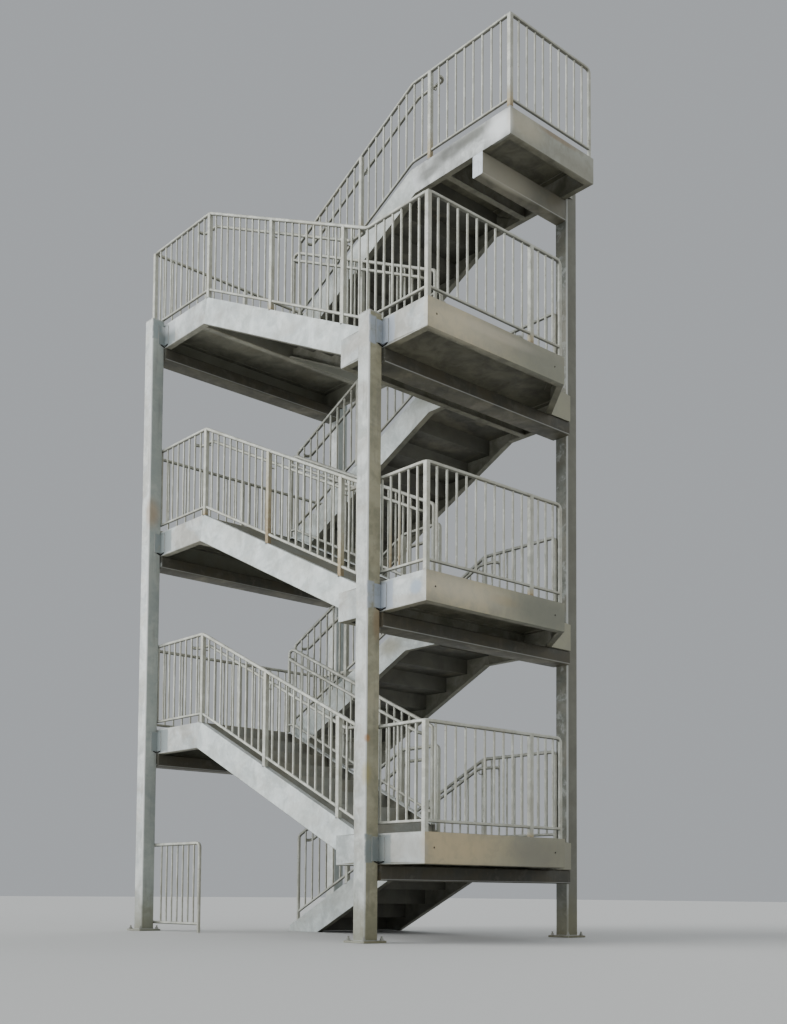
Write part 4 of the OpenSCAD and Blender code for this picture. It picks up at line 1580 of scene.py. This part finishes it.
@dataclass
class Steelwork:
    """The landings, stringers and steps, as the frame has them, with worked edges."""

    flights: int = 7
    lip: float = 0.012
    edge: float = 0.0018
    hole_r: float = 0.011
    hole_drop: float = 0.148
    hole_depth: float = 0.06
    hole_places: tuple[float, ...] = (-1.300, 0.445)
    clip: float = 0.089
    clip_low: float = 0.270
    clip_top: float = 0.035
    bead_off: float = 0.002
    bead_end: float = 0.012
    gap_off: float = 0.004
    gap_drops: tuple[float, float, float] = (0.004, 0.022, 0.002)
    gap_ends: tuple[float, float] = (0.012, 0.03)
    heel_length: float = 0.25
    heel_web: float = 0.02
    downward: float = -0.7
    upright: float = 0.1
    outward: float = 0.3
    shelter: Shelter = field(default_factory=Shelter)

    def _holes(self, piece: Piece, deck: Deck) -> None:
        """Drills the two spare bolt holes in a landing's end channel.

        Args:
            piece: the landing.
            deck: the floor that it is.
        """
        work = bmesh.new()
        for y in self.hole_places:
            place = Matrix.Translation((S.x_right, y, deck.steel_top - self.hole_drop))
            bmesh.ops.create_cone(
                work, cap_ends=True, segments=20, radius1=self.hole_r, radius2=self.hole_r,
                depth=self.hole_depth, matrix=place @ Matrix.Rotation(math.radians(90), 4, "Y"),
            )
        drill = object_from(work, piece.name + "_drill", piece.data.materials[0])
        cut = piece.modifiers.new("bolt_holes", "BOOLEAN")
        cut.operation = "DIFFERENCE"
        cut.solver = "EXACT"
        cut.object = drill
        bake_nodes(piece)
        remove(drill)

    def _is_heel(self, run: bmesh.types.BMEdge, middle: Vector) -> bool:
        """Tells a channel's low outer edge from every other edge.

        Args:
            run: the edge.
            middle: the piece's middle.

        Returns:
            Whether it is long, joins an underside to a wide web that faces out, and isn't part
            of a clip angle, which stands outside the channels.
        """
        if run.calc_length() < self.heel_length or len(run.link_faces) != 2:
            return False
        underside = [f for f in run.link_faces if f.normal.z < self.downward]
        web = [f for f in run.link_faces if abs(f.normal.z) < self.upright]
        way = (run.verts[0].co + run.verts[1].co) / 2 - middle
        return bool(
            underside and web and web[0].normal.dot(way) > self.outward
            and web[0].calc_area() > self.heel_web
            and abs(way.y) < S.half_width + self.bead_off
        )

    def _round_lip(self, piece: Piece) -> None:
        """Rounds the rolled heel along the low outer edge of every channel.

        Args:
            piece: the mesh object with the channels.
        """
        work = bmesh.new()
        work.from_mesh(piece.data)
        xs = [v.co.x for v in work.verts]
        middle = Vector(((min(xs) + max(xs)) / 2, 0.0, 0.0))
        bmesh.ops.bevel(
            work, geom=[run for run in work.edges if self._is_heel(run, middle)],
            offset=self.lip, offset_type="OFFSET", segments=3, profile=0.5, affect="EDGES",
            clamp_overlap=False,
        )
        work.to_mesh(piece.data)
        work.free()

    def _dress(
        self, node: str, name: str, slot: str, paint: Paint, deck: Deck | None = None
    ) -> Piece:
        """Copies a node, paints it and works its edges and holes.

        Args:
            node: the CAD node.
            name: the new piece's name.
            slot: the name of the record's material slot, read only to leave the step plates without
                a rounded lip.
            paint: its finish.
            deck: the floor that it is, where it has spare holes in its end channel.

        Returns:
            The finished piece.
        """
        piece = copy_of_node(node, name)
        piece.data.materials.clear()
        piece.data.materials.append(paint)
        if deck is not None:
            self._holes(piece, deck)
        if slot != "step_plate":
            self._round_lip(piece)
        self.shelter.mark(piece)
        add_bevel(piece, self.edge)
        return settle(piece, [node])

    def _clips(self) -> list[tuple[float, float, float, int, int]]:
        """Lists every clip angle.

        Returns:
            For each, its column's face, its channel's face, the channel's top, and the sides
            of the column and of the stair that it is on.
        """
        clips = []
        half = S.column_side / 2
        right, left = S.column_x_right, S.column_x_left
        for deck in RIGHT_DECKS:
            z = deck.steel_top
            clips += [(right + sx * half, -S.half_width, z, sx, -1) for sx in (-1, 1)]
            clips.append((right - half, S.half_width, z, -1, 1))
        z = Deck.TOP.steel_top
        clips += [(right + sx * half, S.half_width, z, sx, 1) for sx in (-1, 1)]
        for deck in LEFT_DECKS:
            z = deck.steel_top
            clips += [
                (left + sx * half, sy * S.half_width, z, sx, sy) for sx in (-1, 1) for sy in (-1, 1)
            ]
        return clips

    def _welds(self, tools: NodeTools) -> Piece:
        """Makes the weld beads round the clip angles and the painted shadow in the gaps under them,
        as near-black tubes.

        Args:
            tools: the finishes and node trees.

        Returns:
            The finished piece.
        """
        beads, gaps = [], []
        web_drop, corner_drop, leg_drop = self.gap_drops
        web_in, leg_in = self.gap_ends
        for x, y, z, sx, sy in self._clips():
            low, top = z - self.clip_low, z - self.clip_top
            web_end, leg_end = x + sx * self.clip, y + sy * self.clip
            web_y, leg_x = y + sy * self.bead_off, x + sx * self.bead_off
            gap_x, gap_y = x + sx * self.gap_off, y + sy * self.gap_off
            near_x, near_y = x + sx * self.bead_end, y + sy * self.bead_end
            beads.append([(web_end, web_y, low), (web_end, web_y, top), (near_x, web_y, top)])
            beads.append([(leg_x, leg_end, low), (leg_x, leg_end, top), (leg_x, near_y, top)])
            corner = (gap_x, gap_y, low - corner_drop)
            gaps.append([(web_end - sx * web_in, gap_y, low - web_drop), corner])
            gaps.append([corner, (gap_x, leg_end - sy * leg_in, low - leg_drop)])
        weld = tools.grow(
            tools.beads, lines_object("clip_beads", beads), "galvanised_weld_bead",
            radius=0.0045, step=0.013,
        )
        gap = tools.grow(
            tools.beads, lines_object("clip_gaps", gaps), "gap_in_shadow",
            radius=0.0065, step=0.02,
        )
        return settle(joined("clip_angle_welds", [weld, gap]))

    def build(self, tools: NodeTools) -> list[Piece]:
        """Makes a piece for each landing, pair of stringers and flight of steps.

        Args:
            tools: the finishes and node trees.

        Returns:
            The finished pieces.
        """
        near = tools.paints["galvanised_floor_channel"]
        far = tools.paints["galvanised_far_floor_channel"]
        landings = [(f"landing_{k}", near, deck) for k, deck in enumerate(RIGHT_DECKS, 1)]
        landings.append(("top_landing", tools.paints["smudged_floor_channel"], None))
        landings += [(f"half_landing_{k}", far, None) for k in (1, 2, 3)]
        made = [
            self._dress(node, node + "_frame", "landing_steel", paint, deck)
            for node, paint, deck in landings
        ]
        stringer = tools.paints["galvanised_stringer_channel"]
        plate = tools.paints["galvanised_folded_plate"]
        for k in range(1, self.flights + 1):
            made.append(
                self._dress(f"stringers_{k}", f"stringer_pair_{k}", "stringer_steel", stringer)
            )
            made.append(self._dress(f"steps_{k}", f"folded_steps_{k}", "step_plate", plate))
        made.append(self._welds(tools))
        return made


@dataclass
class GuardLine:
    """One stretch of guard in an upright plane, drawn along the plane's own axis."""

    run: Run
    posts: list[float]
    plane: float
    along_y: bool = False
    picket_marks: list[float] = field(default_factory=list)

    def height(self, u: float) -> float:
        """Works out the height of the channels' top.

        Args:
            u: place along the run.

        Returns:
            The height there.
        """
        for (u0, z0), (u1, z1) in zip(self.run, self.run[1:]):
            if u <= u1 or (u1, z1) == self.run[-1]:
                return z0 + (z1 - z0) * (u - u0) / (u1 - u0)
        return self.run[-1][1]

    def point(self, u: float, lift: float = 0.0, off: float = 0.0) -> Point:
        """The place at u in the plane, lifted above the channels and moved off the plane."""
        z = self.height(u) + lift
        return (self.plane + off, u, z) if self.along_y else (u, self.plane + off, z)

    def path(self, lift: float) -> list[Point]:
        """The run's own corners, lifted above the channels."""
        return [self.point(u, lift) for u, _ in self.run]

    def spaces(self, a: float, b: float, slack: float = 1e-6) -> int:
        """Even picket spaces between a and b."""
        return max(1, math.ceil((b - a) / S.picket_gap - slack))

    def near_picket(self, a: float, b: float, u: float) -> float:
        """Place of the picket nearest to u between posts a and b."""
        n = self.spaces(a, b)
        return a + (b - a) * min(1.0, round(n * (u - a) / (b - a)) / n)

    def pickets(self) -> list[Point]:
        """Works out where the pickets stand.

        Returns:
            Their feet, on the low rail's centre line.
        """
        marks = self.picket_marks or sorted({self.run[0][0], *self.posts, self.run[-1][0]})
        feet = []
        for a, b in zip(marks, marks[1:]):
            n = self.spaces(a, b)
            feet.extend(self.point(a + (b - a) * i / n, S.low_rail_height) for i in range(1, n))
        return feet

    def post_feet(
        self, near: float = 0.02, sunk: float = 0.010, level: float = 0.001
    ) -> list[Point]:
        """Works out where the posts stand.

        Args:
            near: how far to each side of a post the channel is tested for a slope.
            sunk: how far a post on a slope reaches down beside the channel's flange.
            level: a rise of no more than this, in metres, is no slope.

        Returns:
            Their feet.
        """
        feet = []
        for u in self.posts:
            lean = abs(self.height(u + near) - self.height(u - near)) > level
            feet.append(self.point(u, -sunk if lean else 0.0))
        return feet


@dataclass
class Handrail:
    """A handrail beside a guard: its corners as [u, channel top], its side and its brackets."""

    guard: GuardLine
    run: Run
    side: float
    brackets: list[float]
    return_off: float = 0.012
    bracket_drop: float = 0.062
    bracket_tip: float = 0.004

    def tube(self) -> list[Point]:
        """Works out the tube's centre line.

        Returns:
            Its points, both ends turned back to the guard.
        """
        (u0, z0), (u1, z1) = self.run[0], self.run[-1]
        lift = S.handrail_height
        plane = self.guard.plane
        back = plane + self.side * self.return_off
        out = plane + self.side * S.handrail_off
        middle = [(u, out, z + lift) for u, z in self.run]
        return [(u0, back, z0 + lift), *middle, (u1, back, z1 + lift)]

    def bracket_lines(self) -> list[list[Point]]:
        """Works out the bent bracket rods.

        Returns:
            Each rod's centre line, from the guard out and up to the tube.
        """
        plane = self.guard.plane
        mine = GuardLine(self.run, [], plane)
        out = plane + self.side * S.handrail_off
        lines = []
        for u in self.brackets:
            z = mine.height(u) + S.handrail_height
            low = z - self.bracket_drop
            lines.append([(u, plane, low), (u, out, low), (u, out, z - self.bracket_tip)])
        return lines


@dataclass
class GuardSet:
    """The guards that share one piece: lines, the top rails' full paths and handrails."""

    name: str
    nodes: list[str]
    lines: list[GuardLine]
    top_paths: list[list[Point]]
    handrails: list[Handrail] = field(default_factory=list)
    corner_posts: list[Point] = field(default_factory=list)
    rod_r: float = 0.007
    finish: str = "galvanised_guard_tube"

    def build(self, tools: NodeTools) -> Piece:
        """Makes the rails, posts, pickets, handrails, brackets and welds as one piece.

        Args:
            tools: the finishes and node trees.

        Returns:
            The finished piece.
        """
        low_paths = [line.path(S.low_rail_height) for line in self.lines]
        parts = [
            self._tubes(tools, "top", self.top_paths, S.rail_r, bend=0.055),
            self._tubes(tools, "low", low_paths, S.low_rail_r, bend=0.05),
        ]
        pickets = [foot for line in self.lines for foot in line.pickets()]
        length = S.rail_height - S.low_rail_height
        parts.append(self._bars(tools, "pickets", pickets, S.picket, length, corner=0.003))
        feet = [foot for line in self.lines for foot in line.post_feet()] + self.corner_posts
        if feet:
            parts.append(self._bars(tools, "posts", feet, S.post, S.rail_height, corner=0.006))
            loops = [self._foot_loop(foot) for foot in feet]
            seed = lines_object(self.name + "_beads", loops, closed=True)
            bead = tools.grow(tools.beads, seed, "galvanised_weld_bead", radius=0.0045, step=0.013)
            parts.append(bead)
        if self.handrails:
            hand = [rail.tube() for rail in self.handrails]
            rods = [rod for rail in self.handrails for rod in rail.bracket_lines()]
            parts.append(self._tubes(tools, "hand", hand, S.handrail_r, bend=0.06))
            parts.append(self._tubes(tools, "rods", rods, self.rod_r, bend=0.02))
        return settle(joined(self.name, parts), self.nodes)

    def _tubes(
        self, tools: NodeTools, part: str, lines: Sequence[Sequence[Point]],
        radius: float, bend: float,
    ) -> Piece:
        """Sweeps round tube along lines.

        Args:
            tools: the finishes and node trees.
            part: what the tubes are, for the object's name.
            lines: their centre lines.
            radius: radius of the tube.
            bend: radius of a right-angled bend.

        Returns:
            The object.
        """
        seed = lines_object(f"{self.name}_{part}", lines)
        return tools.grow(tools.tubes, seed, self.finish, radius=radius, bend=bend)

    def _bars(
        self, tools: NodeTools, part: str, feet: Sequence[Point],
        width: float, length: float, corner: float,
    ) -> Piece:
        """Stands square bars on their feet and marks where they rust.

        Args:
            tools: the finishes and node trees.
            part: what the bars are, for the object's name.
            feet: the bars' feet.
            width: width of a bar.
            length: height of a bar.
            corner: radius of its corners.

        Returns:
            The object, with each point's height on its bar and how far the rust climbs there.
        """
        seed = points_object(f"{self.name}_{part}", feet)
        sizes = {"width": width, "length": length, "corner": corner}
        bars = tools.grow(tools.bars, seed, self.finish, **sizes)
        verts = bars.data.vertices
        per_bar = len(verts) // len(feet)
        reaches, heights = [], []
        for i, vert in enumerate(verts):
            foot = feet[i // per_bar]
            near = [
                reach for spot, reach in RUST_SPOTS
                if (Vector(spot) - Vector(foot)).length < RUST_SPOT_REACH
            ]
            reaches.append(max(near, default=0.0))
            heights.append(vert.co.z - foot[2])
        bars.data.attributes.new("rust", "FLOAT", "POINT").data.foreach_set("value", reaches)
        bars.data.attributes.new("above_foot", "FLOAT", "POINT").data.foreach_set("value", heights)
        return bars

    def _foot_loop(
        self, foot: Point, bead: float = 0.0065, off: float = 0.001, lift: float = 0.002
    ) -> list[Point]:
        """Draws the weld's path round a post's foot, kept on the channel's flange.

        Args:
            foot: middle of the post's foot.
            bead: room that the bead needs inside the channels' outer faces.
            off: how far off the post's faces the path runs.
            lift: how far above the foot.

        Returns:
            The four corners of the path.
        """
        x, y, z = foot
        h = S.post / 2 + off
        most_x, most_y = S.x_right - bead, S.half_width - bead
        return [
            (max(-most_x, min(most_x, x + sx * h)), max(-most_y, min(most_y, y + sy * h)), z + lift)
            for sx, sy in ((-1, -1), (1, -1), (1, 1), (-1, 1))
        ]


InnerGuard = tuple[GuardLine, list[Point], Handrail]


@dataclass
class Guards:
    """Works out every guard line and makes the guard pieces."""

    column_lap: float = 0.073
    end_set: float = 0.045
    side_post_set: float = 0.512
    ground_set: float = 0.300

    @property
    def x_column_end(self) -> float:
        """Where the back guards end, beside the column on the right."""
        return S.column_x_right - self.column_lap

    @property
    def x_inner_left(self) -> float:
        """The inner guards' first post, against the half landing's header."""
        return S.x_header_left + S.post / 2

    @property
    def x_inner_right(self) -> float:
        """The inner guards' last post, against the landing's header."""
        return S.x_header_right - S.post / 2

    def front(self, deck: Deck, node: str) -> GuardSet:
        """Draws a front flight's guard with its half landing's end and its landing's side.

        Args:
            deck: the landing that the flight starts from.
            node: the CAD node of the flight's guard.

        Returns:
            The set.
        """
        z = deck.steel_top
        zu = z + S.front_risers * S.riser
        x0, x1 = -S.x_end, S.x_end
        bay = (x1 - S.x_up_front) / 3
        posts = [S.x_up_front, S.x_up_front + bay, S.x_up_front + 2 * bay]
        run = [(x0, zu), (S.x_up_front, zu), (S.x_low_front, z), (x1, z)]
        outer = GuardLine(run, posts, -S.y_rail)
        y_end = S.y_side - self.end_set
        side = GuardLine([(-S.y_rail, z), (y_end, z)], [S.y_side - self.side_post_set], x1, True)
        end = GuardLine([(-S.y_rail, zu), (S.y_rail, zu)], [0.0], x0, True)
        top = [
            (x0, 0.0, zu + S.rail_height),
            *outer.path(S.rail_height),
            (x1, y_end, z + S.rail_height),
            (x1, y_end, z),
        ]
        xk = S.x_low_front - S.going
        z_low = z + S.riser
        first = outer.near_picket(x0, S.x_up_front, S.x_up_front - S.extension)
        last = outer.near_picket(posts[2], x1, xk + S.extension)
        hand_run = [(first, zu), (S.x_up_front, zu), (xk, z_low), (last, z_low)]
        return GuardSet(
            node + "_rails", [node, "side_guards", "end_guards"], [outer, side, end], [top],
            [Handrail(outer, hand_run, 1.0, posts)], [(x0, -S.y_rail, zu), (x1, -S.y_rail, z)],
        )

    def back(self, deck: Deck, landing: Deck, node: str) -> GuardSet:
        """Draws a back flight's guard from the half landing's corner up to its landing.

        Args:
            deck: the half landing that the flight starts from.
            landing: the landing that it reaches; beside the top one the guard doesn't go on.
            node: the CAD node of the guard.

        Returns:
            The set.
        """
        top_flight = landing is Deck.TOP
        risers = landing.value - deck.value
        z = deck.steel_top
        zu = z + risers * S.riser
        xa = S.x_low_top if top_flight else S.x_low_back
        xb = xa + risers * S.going
        x0 = -S.x_end
        x1 = xb if top_flight else self.x_column_end
        xk = xa + S.going
        bay = (xb - xa) / 2
        run = [(x0, z), (xa, z), (xb, zu)]
        posts = [xa, xa + bay]
        hand_run = [(xk - S.extension, z + S.riser), (xk, z + S.riser), (xb, zu)]
        if not top_flight:
            run.append((x1, zu))
            posts.append(xb)
        line = GuardLine(run, posts, S.y_rail)
        if not top_flight:
            hand_run.append((line.near_picket(xb, x1, xb + S.extension), zu))
        top = [(x0, 0.0, z + S.rail_height), *line.path(S.rail_height), (x1, S.y_rail, zu)]
        hand = Handrail(line, hand_run, -1.0, [posts[1], xb])
        return GuardSet(node + "_rails", [node], [line], [top], [hand], [(x0, S.y_rail, z)])

    def ground_back(self) -> GuardSet:
        """Draws the outer guard of the ground flight.

        Returns:
            The set.
        """
        z = S.level(0)
        zu = Deck.LANDING_1.steel_top
        xb = S.back_up(Deck.LANDING_1.value)
        x0, x1 = S.x_low_back + self.ground_set, self.x_column_end
        mid = x0 + (xb - x0) / 2
        run = [(x0, z + self.ground_set * S.slope), (xb, zu), (x1, zu)]
        line = GuardLine(run, [mid, xb], S.y_rail)
        top = [line.point(x0), *line.path(S.rail_height), (x1, S.y_rail, zu)]
        xa = line.near_picket(x0, mid, x0 + S.going)
        xe = line.near_picket(xb, x1, xb + S.extension)
        hand = Handrail(line, [(xa, line.height(xa)), (xb, zu), (xe, zu)], -1.0, [mid, xb])
        return GuardSet("back_guard_1_rails", ["back_guard_1"], [line], [top], [hand])

    def inner_front(self, deck: Deck) -> InnerGuard:
        """Draws the inner guard of a front flight.

        Args:
            deck: the landing that the flight starts from.

        Returns:
            Its line, its top rail's path and its handrail.
        """
        z = deck.steel_top
        zu = z + S.front_risers * S.riser
        x0, x1 = self.x_inner_left, self.x_inner_right
        z1 = z + (S.x_low_front - x1) * S.slope
        mid = S.x_up_front + (x1 - S.x_up_front) / 2
        line = GuardLine([(x0, zu), (S.x_up_front, zu), (x1, z1)], [mid], -S.y_inner)
        top = [line.point(x0), *line.path(S.rail_height), line.point(x1)]
        xe = line.near_picket(mid, x1, x1 - S.going / 2)
        hand = Handrail(line, [(S.x_up_front, zu), (xe, line.height(xe))], -1.0, [mid])
        return line, top, hand

    def inner_back(self, below: int, risers: int, x0: float) -> InnerGuard:
        """Draws the inner guard of a back flight and of the landing above it.

        Args:
            below: risers from the ground to the floor that the flight starts from.
            risers: the flight's risers.
            x0: the first post.

        Returns:
            Its line, its top rail's path and its handrail.
        """
        z = S.level(below)
        zu = z + risers * S.riser
        xb = S.back_up(risers)
        x1 = self.x_inner_right
        mid = (x0 + xb) / 2
        run = [(x0, z + (x0 - S.x_low_back) * S.slope), (xb, zu), (x1, zu)]
        line = GuardLine(run, [mid, xb], S.y_inner)
        top = [line.point(x0), *line.path(S.rail_height), line.point(x1)]
        xa = line.near_picket(x0, mid, x0 + S.going / 2)
        xe = line.near_picket(xb, x1, xb + S.extension)
        hand = Handrail(line, [(xa, line.height(xa)), (xb, zu), (xe, zu)], 1.0, [mid, xb])
        return line, top, hand

    def inner_top(self) -> InnerGuard:
        """Draws the inner guard of the top flight and the top landing.

        Returns:
            Its line, whose last post stands past the kink, its top rail's path and its handrail.
        """
        z, zu = Deck.HALF_3.steel_top, Deck.TOP.steel_top
        x0, x1 = self.x_inner_left, S.x_top_end - S.post / 2
        xp = S.x_top_end - S.top_post_set
        mid = (x0 + xp) / 2
        run = [(x0, z + (x0 - S.x_low_top) * S.slope), (S.x_up_top, zu), (x1, zu)]
        line = GuardLine(run, [mid, xp], S.y_inner)
        y_end = S.half_width - self.end_set
        top = [
            line.point(x0), *line.path(S.rail_height), (x1, y_end, zu + S.rail_height),
            (x1, y_end, zu),
        ]
        xa = line.near_picket(x0, mid, x0 + S.going / 2)
        xe = line.near_picket(xp, x1, xp + S.extension / 2)
        hand_run = [(xa, line.height(xa)), (S.x_up_top, zu), (xe, zu)]
        return line, top, Handrail(line, hand_run, 1.0, [mid, xp])

    def inner(self, index: int, start: Deck | None, below: int, landing: Deck) -> GuardSet:
        """Draws the inner guards round the well at one storey.

        Args:
            index: the storey, from one to four.
            start: the landing that its front flight starts from, where it has one.
            below: risers from the ground to the floor that its back flight starts from.
            landing: the landing that its back flight reaches.

        Returns:
            The set.
        """
        top_storey = landing is Deck.TOP
        found = [] if start is None else [self.inner_front(start)]
        x0 = S.x_low_back + self.ground_set if start is None else self.x_inner_left
        risers = landing.value - below
        found.append(self.inner_top() if top_storey else self.inner_back(below, risers, x0))
        lines, tops, hands = (list(kind) for kind in zip(*found))
        nodes = [f"inner_guards_{index}"]
        corners = []
        if top_storey:
            zu = Deck.TOP.steel_top
            x1 = S.x_top_end - S.post / 2
            run = [(S.y_inner, zu), (S.half_width - self.end_set, zu)]
            lines.append(GuardLine(run, [], x1, True))
            corners.append((x1, S.y_inner, zu))
            nodes.append("top_side_guard")
        return GuardSet(f"inner_guards_{index}_rails", nodes, lines, tops, hands, corners)

    def ground(self) -> GuardSet:
        """Draws the short guard that stands on the ground, its rails welded to the column.

        Returns:
            The set.
        """
        y = S.rail_r - S.half_width
        x0, x1 = S.column_x_left, S.x_up_front
        marks = [x0 + S.column_side / 2, x1]
        line = GuardLine([(x0, 0.0), (x1, 0.0)], [], y, picket_marks=marks)
        top = [line.point(x0, S.rail_height), line.point(x1, S.rail_height), line.point(x1)]
        return GuardSet("ground_guard_rails", ["ground_guard"], [line], [top])

    def build(self, tools: NodeTools) -> list[Piece]:
        """Makes all the guard pieces.

        Args:
            tools: the finishes and node trees.

        Returns:
            The finished pieces.
        """
        sets = [
            *(self.front(deck, f"front_guard_{k}") for k, deck in enumerate(RIGHT_DECKS, 1)),
            self.ground_back(),
            self.back(Deck.HALF_1, Deck.LANDING_2, "back_guard_2"),
            self.back(Deck.HALF_2, Deck.LANDING_3, "back_guard_3"),
            self.back(Deck.HALF_3, Deck.TOP, "back_guard_4"),
            self.inner(1, None, 0, Deck.LANDING_1),
            self.inner(2, Deck.LANDING_1, Deck.HALF_1.value, Deck.LANDING_2),
            self.inner(3, Deck.LANDING_2, Deck.HALF_2.value, Deck.LANDING_3),
            self.inner(4, Deck.LANDING_3, Deck.HALF_3.value, Deck.TOP),
            self.ground(),
        ]
        return [guard.build(tools) for guard in sets]


# Studio


@dataclass(frozen=True)
class Studio:
    """The floor, the soft lights and the camera at the photograph's viewing angle."""

    focal_px: float = 1203.006
    centre_px: tuple[float, float] = (373.334, 822.337)
    frame_px: tuple[int, int] = (787, 1024)
    sensor_mm: float = 36.0
    sees_to: float = 200.0
    place: Point = (10.6936, -9.1782, 0.4837)
    turn_deg: float = 48.8076
    rise_deg: float = 3.3541
    roll_deg: float = 0.4584
    floor_side: float = 160.0
    floor_gap: float = 0.002
    floor_tone: str = "c4c5c3"
    floor_roughness: float = 0.9
    sky: float = 0.52
    sky_tone: str = "e4e9ee"
    sun_distance: float = 15.0
    suns: tuple[tuple[str, Point, float, float], ...] = (
        ("key", (-0.45, -0.75, 0.55), 2.35, 50.0),
        ("right_fill", (0.90, -0.10, 0.45), 0.42, 70.0),
        ("back_fill", (-0.20, 0.85, 0.60), 0.8, 70.0),
    )
    cards: tuple[tuple[str, Point, float, float], ...] = (
        ("front_card", (-1.5, -9.0, 0.06), 8.0, 760.0),
        ("right_card", (9.0, 0.5, 0.06), 6.0, 90.0),
    )

    def camera(self) -> None:
        """Makes the camera from the lens and the place that fit the photograph."""
        turn, rise, roll = (math.radians(v) for v in (self.turn_deg, self.rise_deg, self.roll_deg))
        flat = math.cos(rise)
        ahead = Vector((-math.sin(turn) * flat, math.cos(turn) * flat, math.sin(rise)))
        right = Vector((math.cos(turn), math.sin(turn), 0.0))
        up = right.cross(ahead)
        right, up = (
            right * math.cos(roll) + up * math.sin(roll),
            up * math.cos(roll) - right * math.sin(roll),
        )
        lens = bpy.data.cameras.new("photo_camera")
        wide, tall = self.frame_px
        lens.sensor_fit = "AUTO"
        lens.sensor_width = self.sensor_mm
        lens.lens = self.sensor_mm * self.focal_px / tall
        lens.shift_x = (wide / 2 - self.centre_px[0]) / tall
        lens.shift_y = (self.centre_px[1] - tall / 2) / tall
        lens.clip_end = self.sees_to
        held = bpy.data.objects.new("photo_camera", lens)
        turned = Matrix((right, up, -ahead)).transposed().to_4x4()
        held.matrix_world = Matrix.Translation(self.place) @ turned
        bpy.context.scene.collection.objects.link(held)
        bpy.context.scene.camera = held

    def floor(self) -> None:
        """Makes the plain pale floor."""
        bpy.ops.mesh.primitive_plane_add(size=self.floor_side, location=(0, 0, -self.floor_gap))
        ground = bpy.context.object
        ground.name = "studio_floor"
        material = bpy.data.materials.new("pale_floor")
        material.use_nodes = True
        shader = material.node_tree.nodes["Principled BSDF"]
        shader.inputs["Base Color"].default_value = linear(self.floor_tone)
        shader.inputs["Roughness"].default_value = self.floor_roughness
        ground.data.materials.append(material)

    def lights(self) -> None:
        """Makes a pale sky, a broad high key and soft fills."""
        world = bpy.data.worlds.new("studio_sky")
        bpy.context.scene.world = world
        world.use_nodes = True
        back = world.node_tree.nodes["Background"]
        back.inputs["Color"].default_value = linear(self.sky_tone)
        back.inputs["Strength"].default_value = self.sky
        for name, way, strength, spread in self.suns:
            data = bpy.data.lights.new(name, "SUN")
            data.energy = strength
            data.angle = math.radians(spread)
            lamp = bpy.data.objects.new(name, data)
            lamp.rotation_mode = "QUATERNION"
            lamp.rotation_quaternion = (-Vector(way)).to_track_quat("-Z", "Y")
            lamp.location = Vector(way) * self.sun_distance
            bpy.context.scene.collection.objects.link(lamp)
        # Low cards that face up and lift the undersides, as a pale floor does
        for name, place, side, power in self.cards:
            data = bpy.data.lights.new(name, "AREA")
            data.size = side
            data.energy = power
            lamp = bpy.data.objects.new(name, data)
            lamp.location = place
            lamp.rotation_euler = (math.pi, 0.0, 0.0)
            lamp.visible_camera = False
            bpy.context.scene.collection.objects.link(lamp)


def main() -> None:
    """Builds the stair's pieces in order and reports each one."""
    logging.basicConfig(level=logging.INFO, format="%(name)s: %(message)s")
    studio = Studio()
    studio.camera()
    studio.floor()
    studio.lights()
    tools = NodeTools()
    made: list[Piece] = []
    for name, x, y, deck, finish in (
        ("column_a", S.column_x_left, -S.column_y, Deck.HALF_3, "washed_galvanised_square_tube"),
        ("column_b", S.column_x_right, -S.column_y, Deck.LANDING_3, "galvanised_square_tube"),
        ("column_c", S.column_x_right, S.column_y, Deck.TOP, "shaded_galvanised_square_tube"),
        ("column_d", S.column_x_left, S.column_y, Deck.HALF_3, "washed_galvanised_square_tube"),
    ):
        column = Column(name, x, y, deck.steel_top + S.column_rise, finish=finish)
        made.append(column.build(tools))
    made += CrossBeams().build(tools)
    made += Steelwork().build(tools)
    made += Guards().build(tools)
    LOG.info("%d pieces", len(made))
    bpy.context.view_layer.update()


if __name__ == "__main__":
    main()
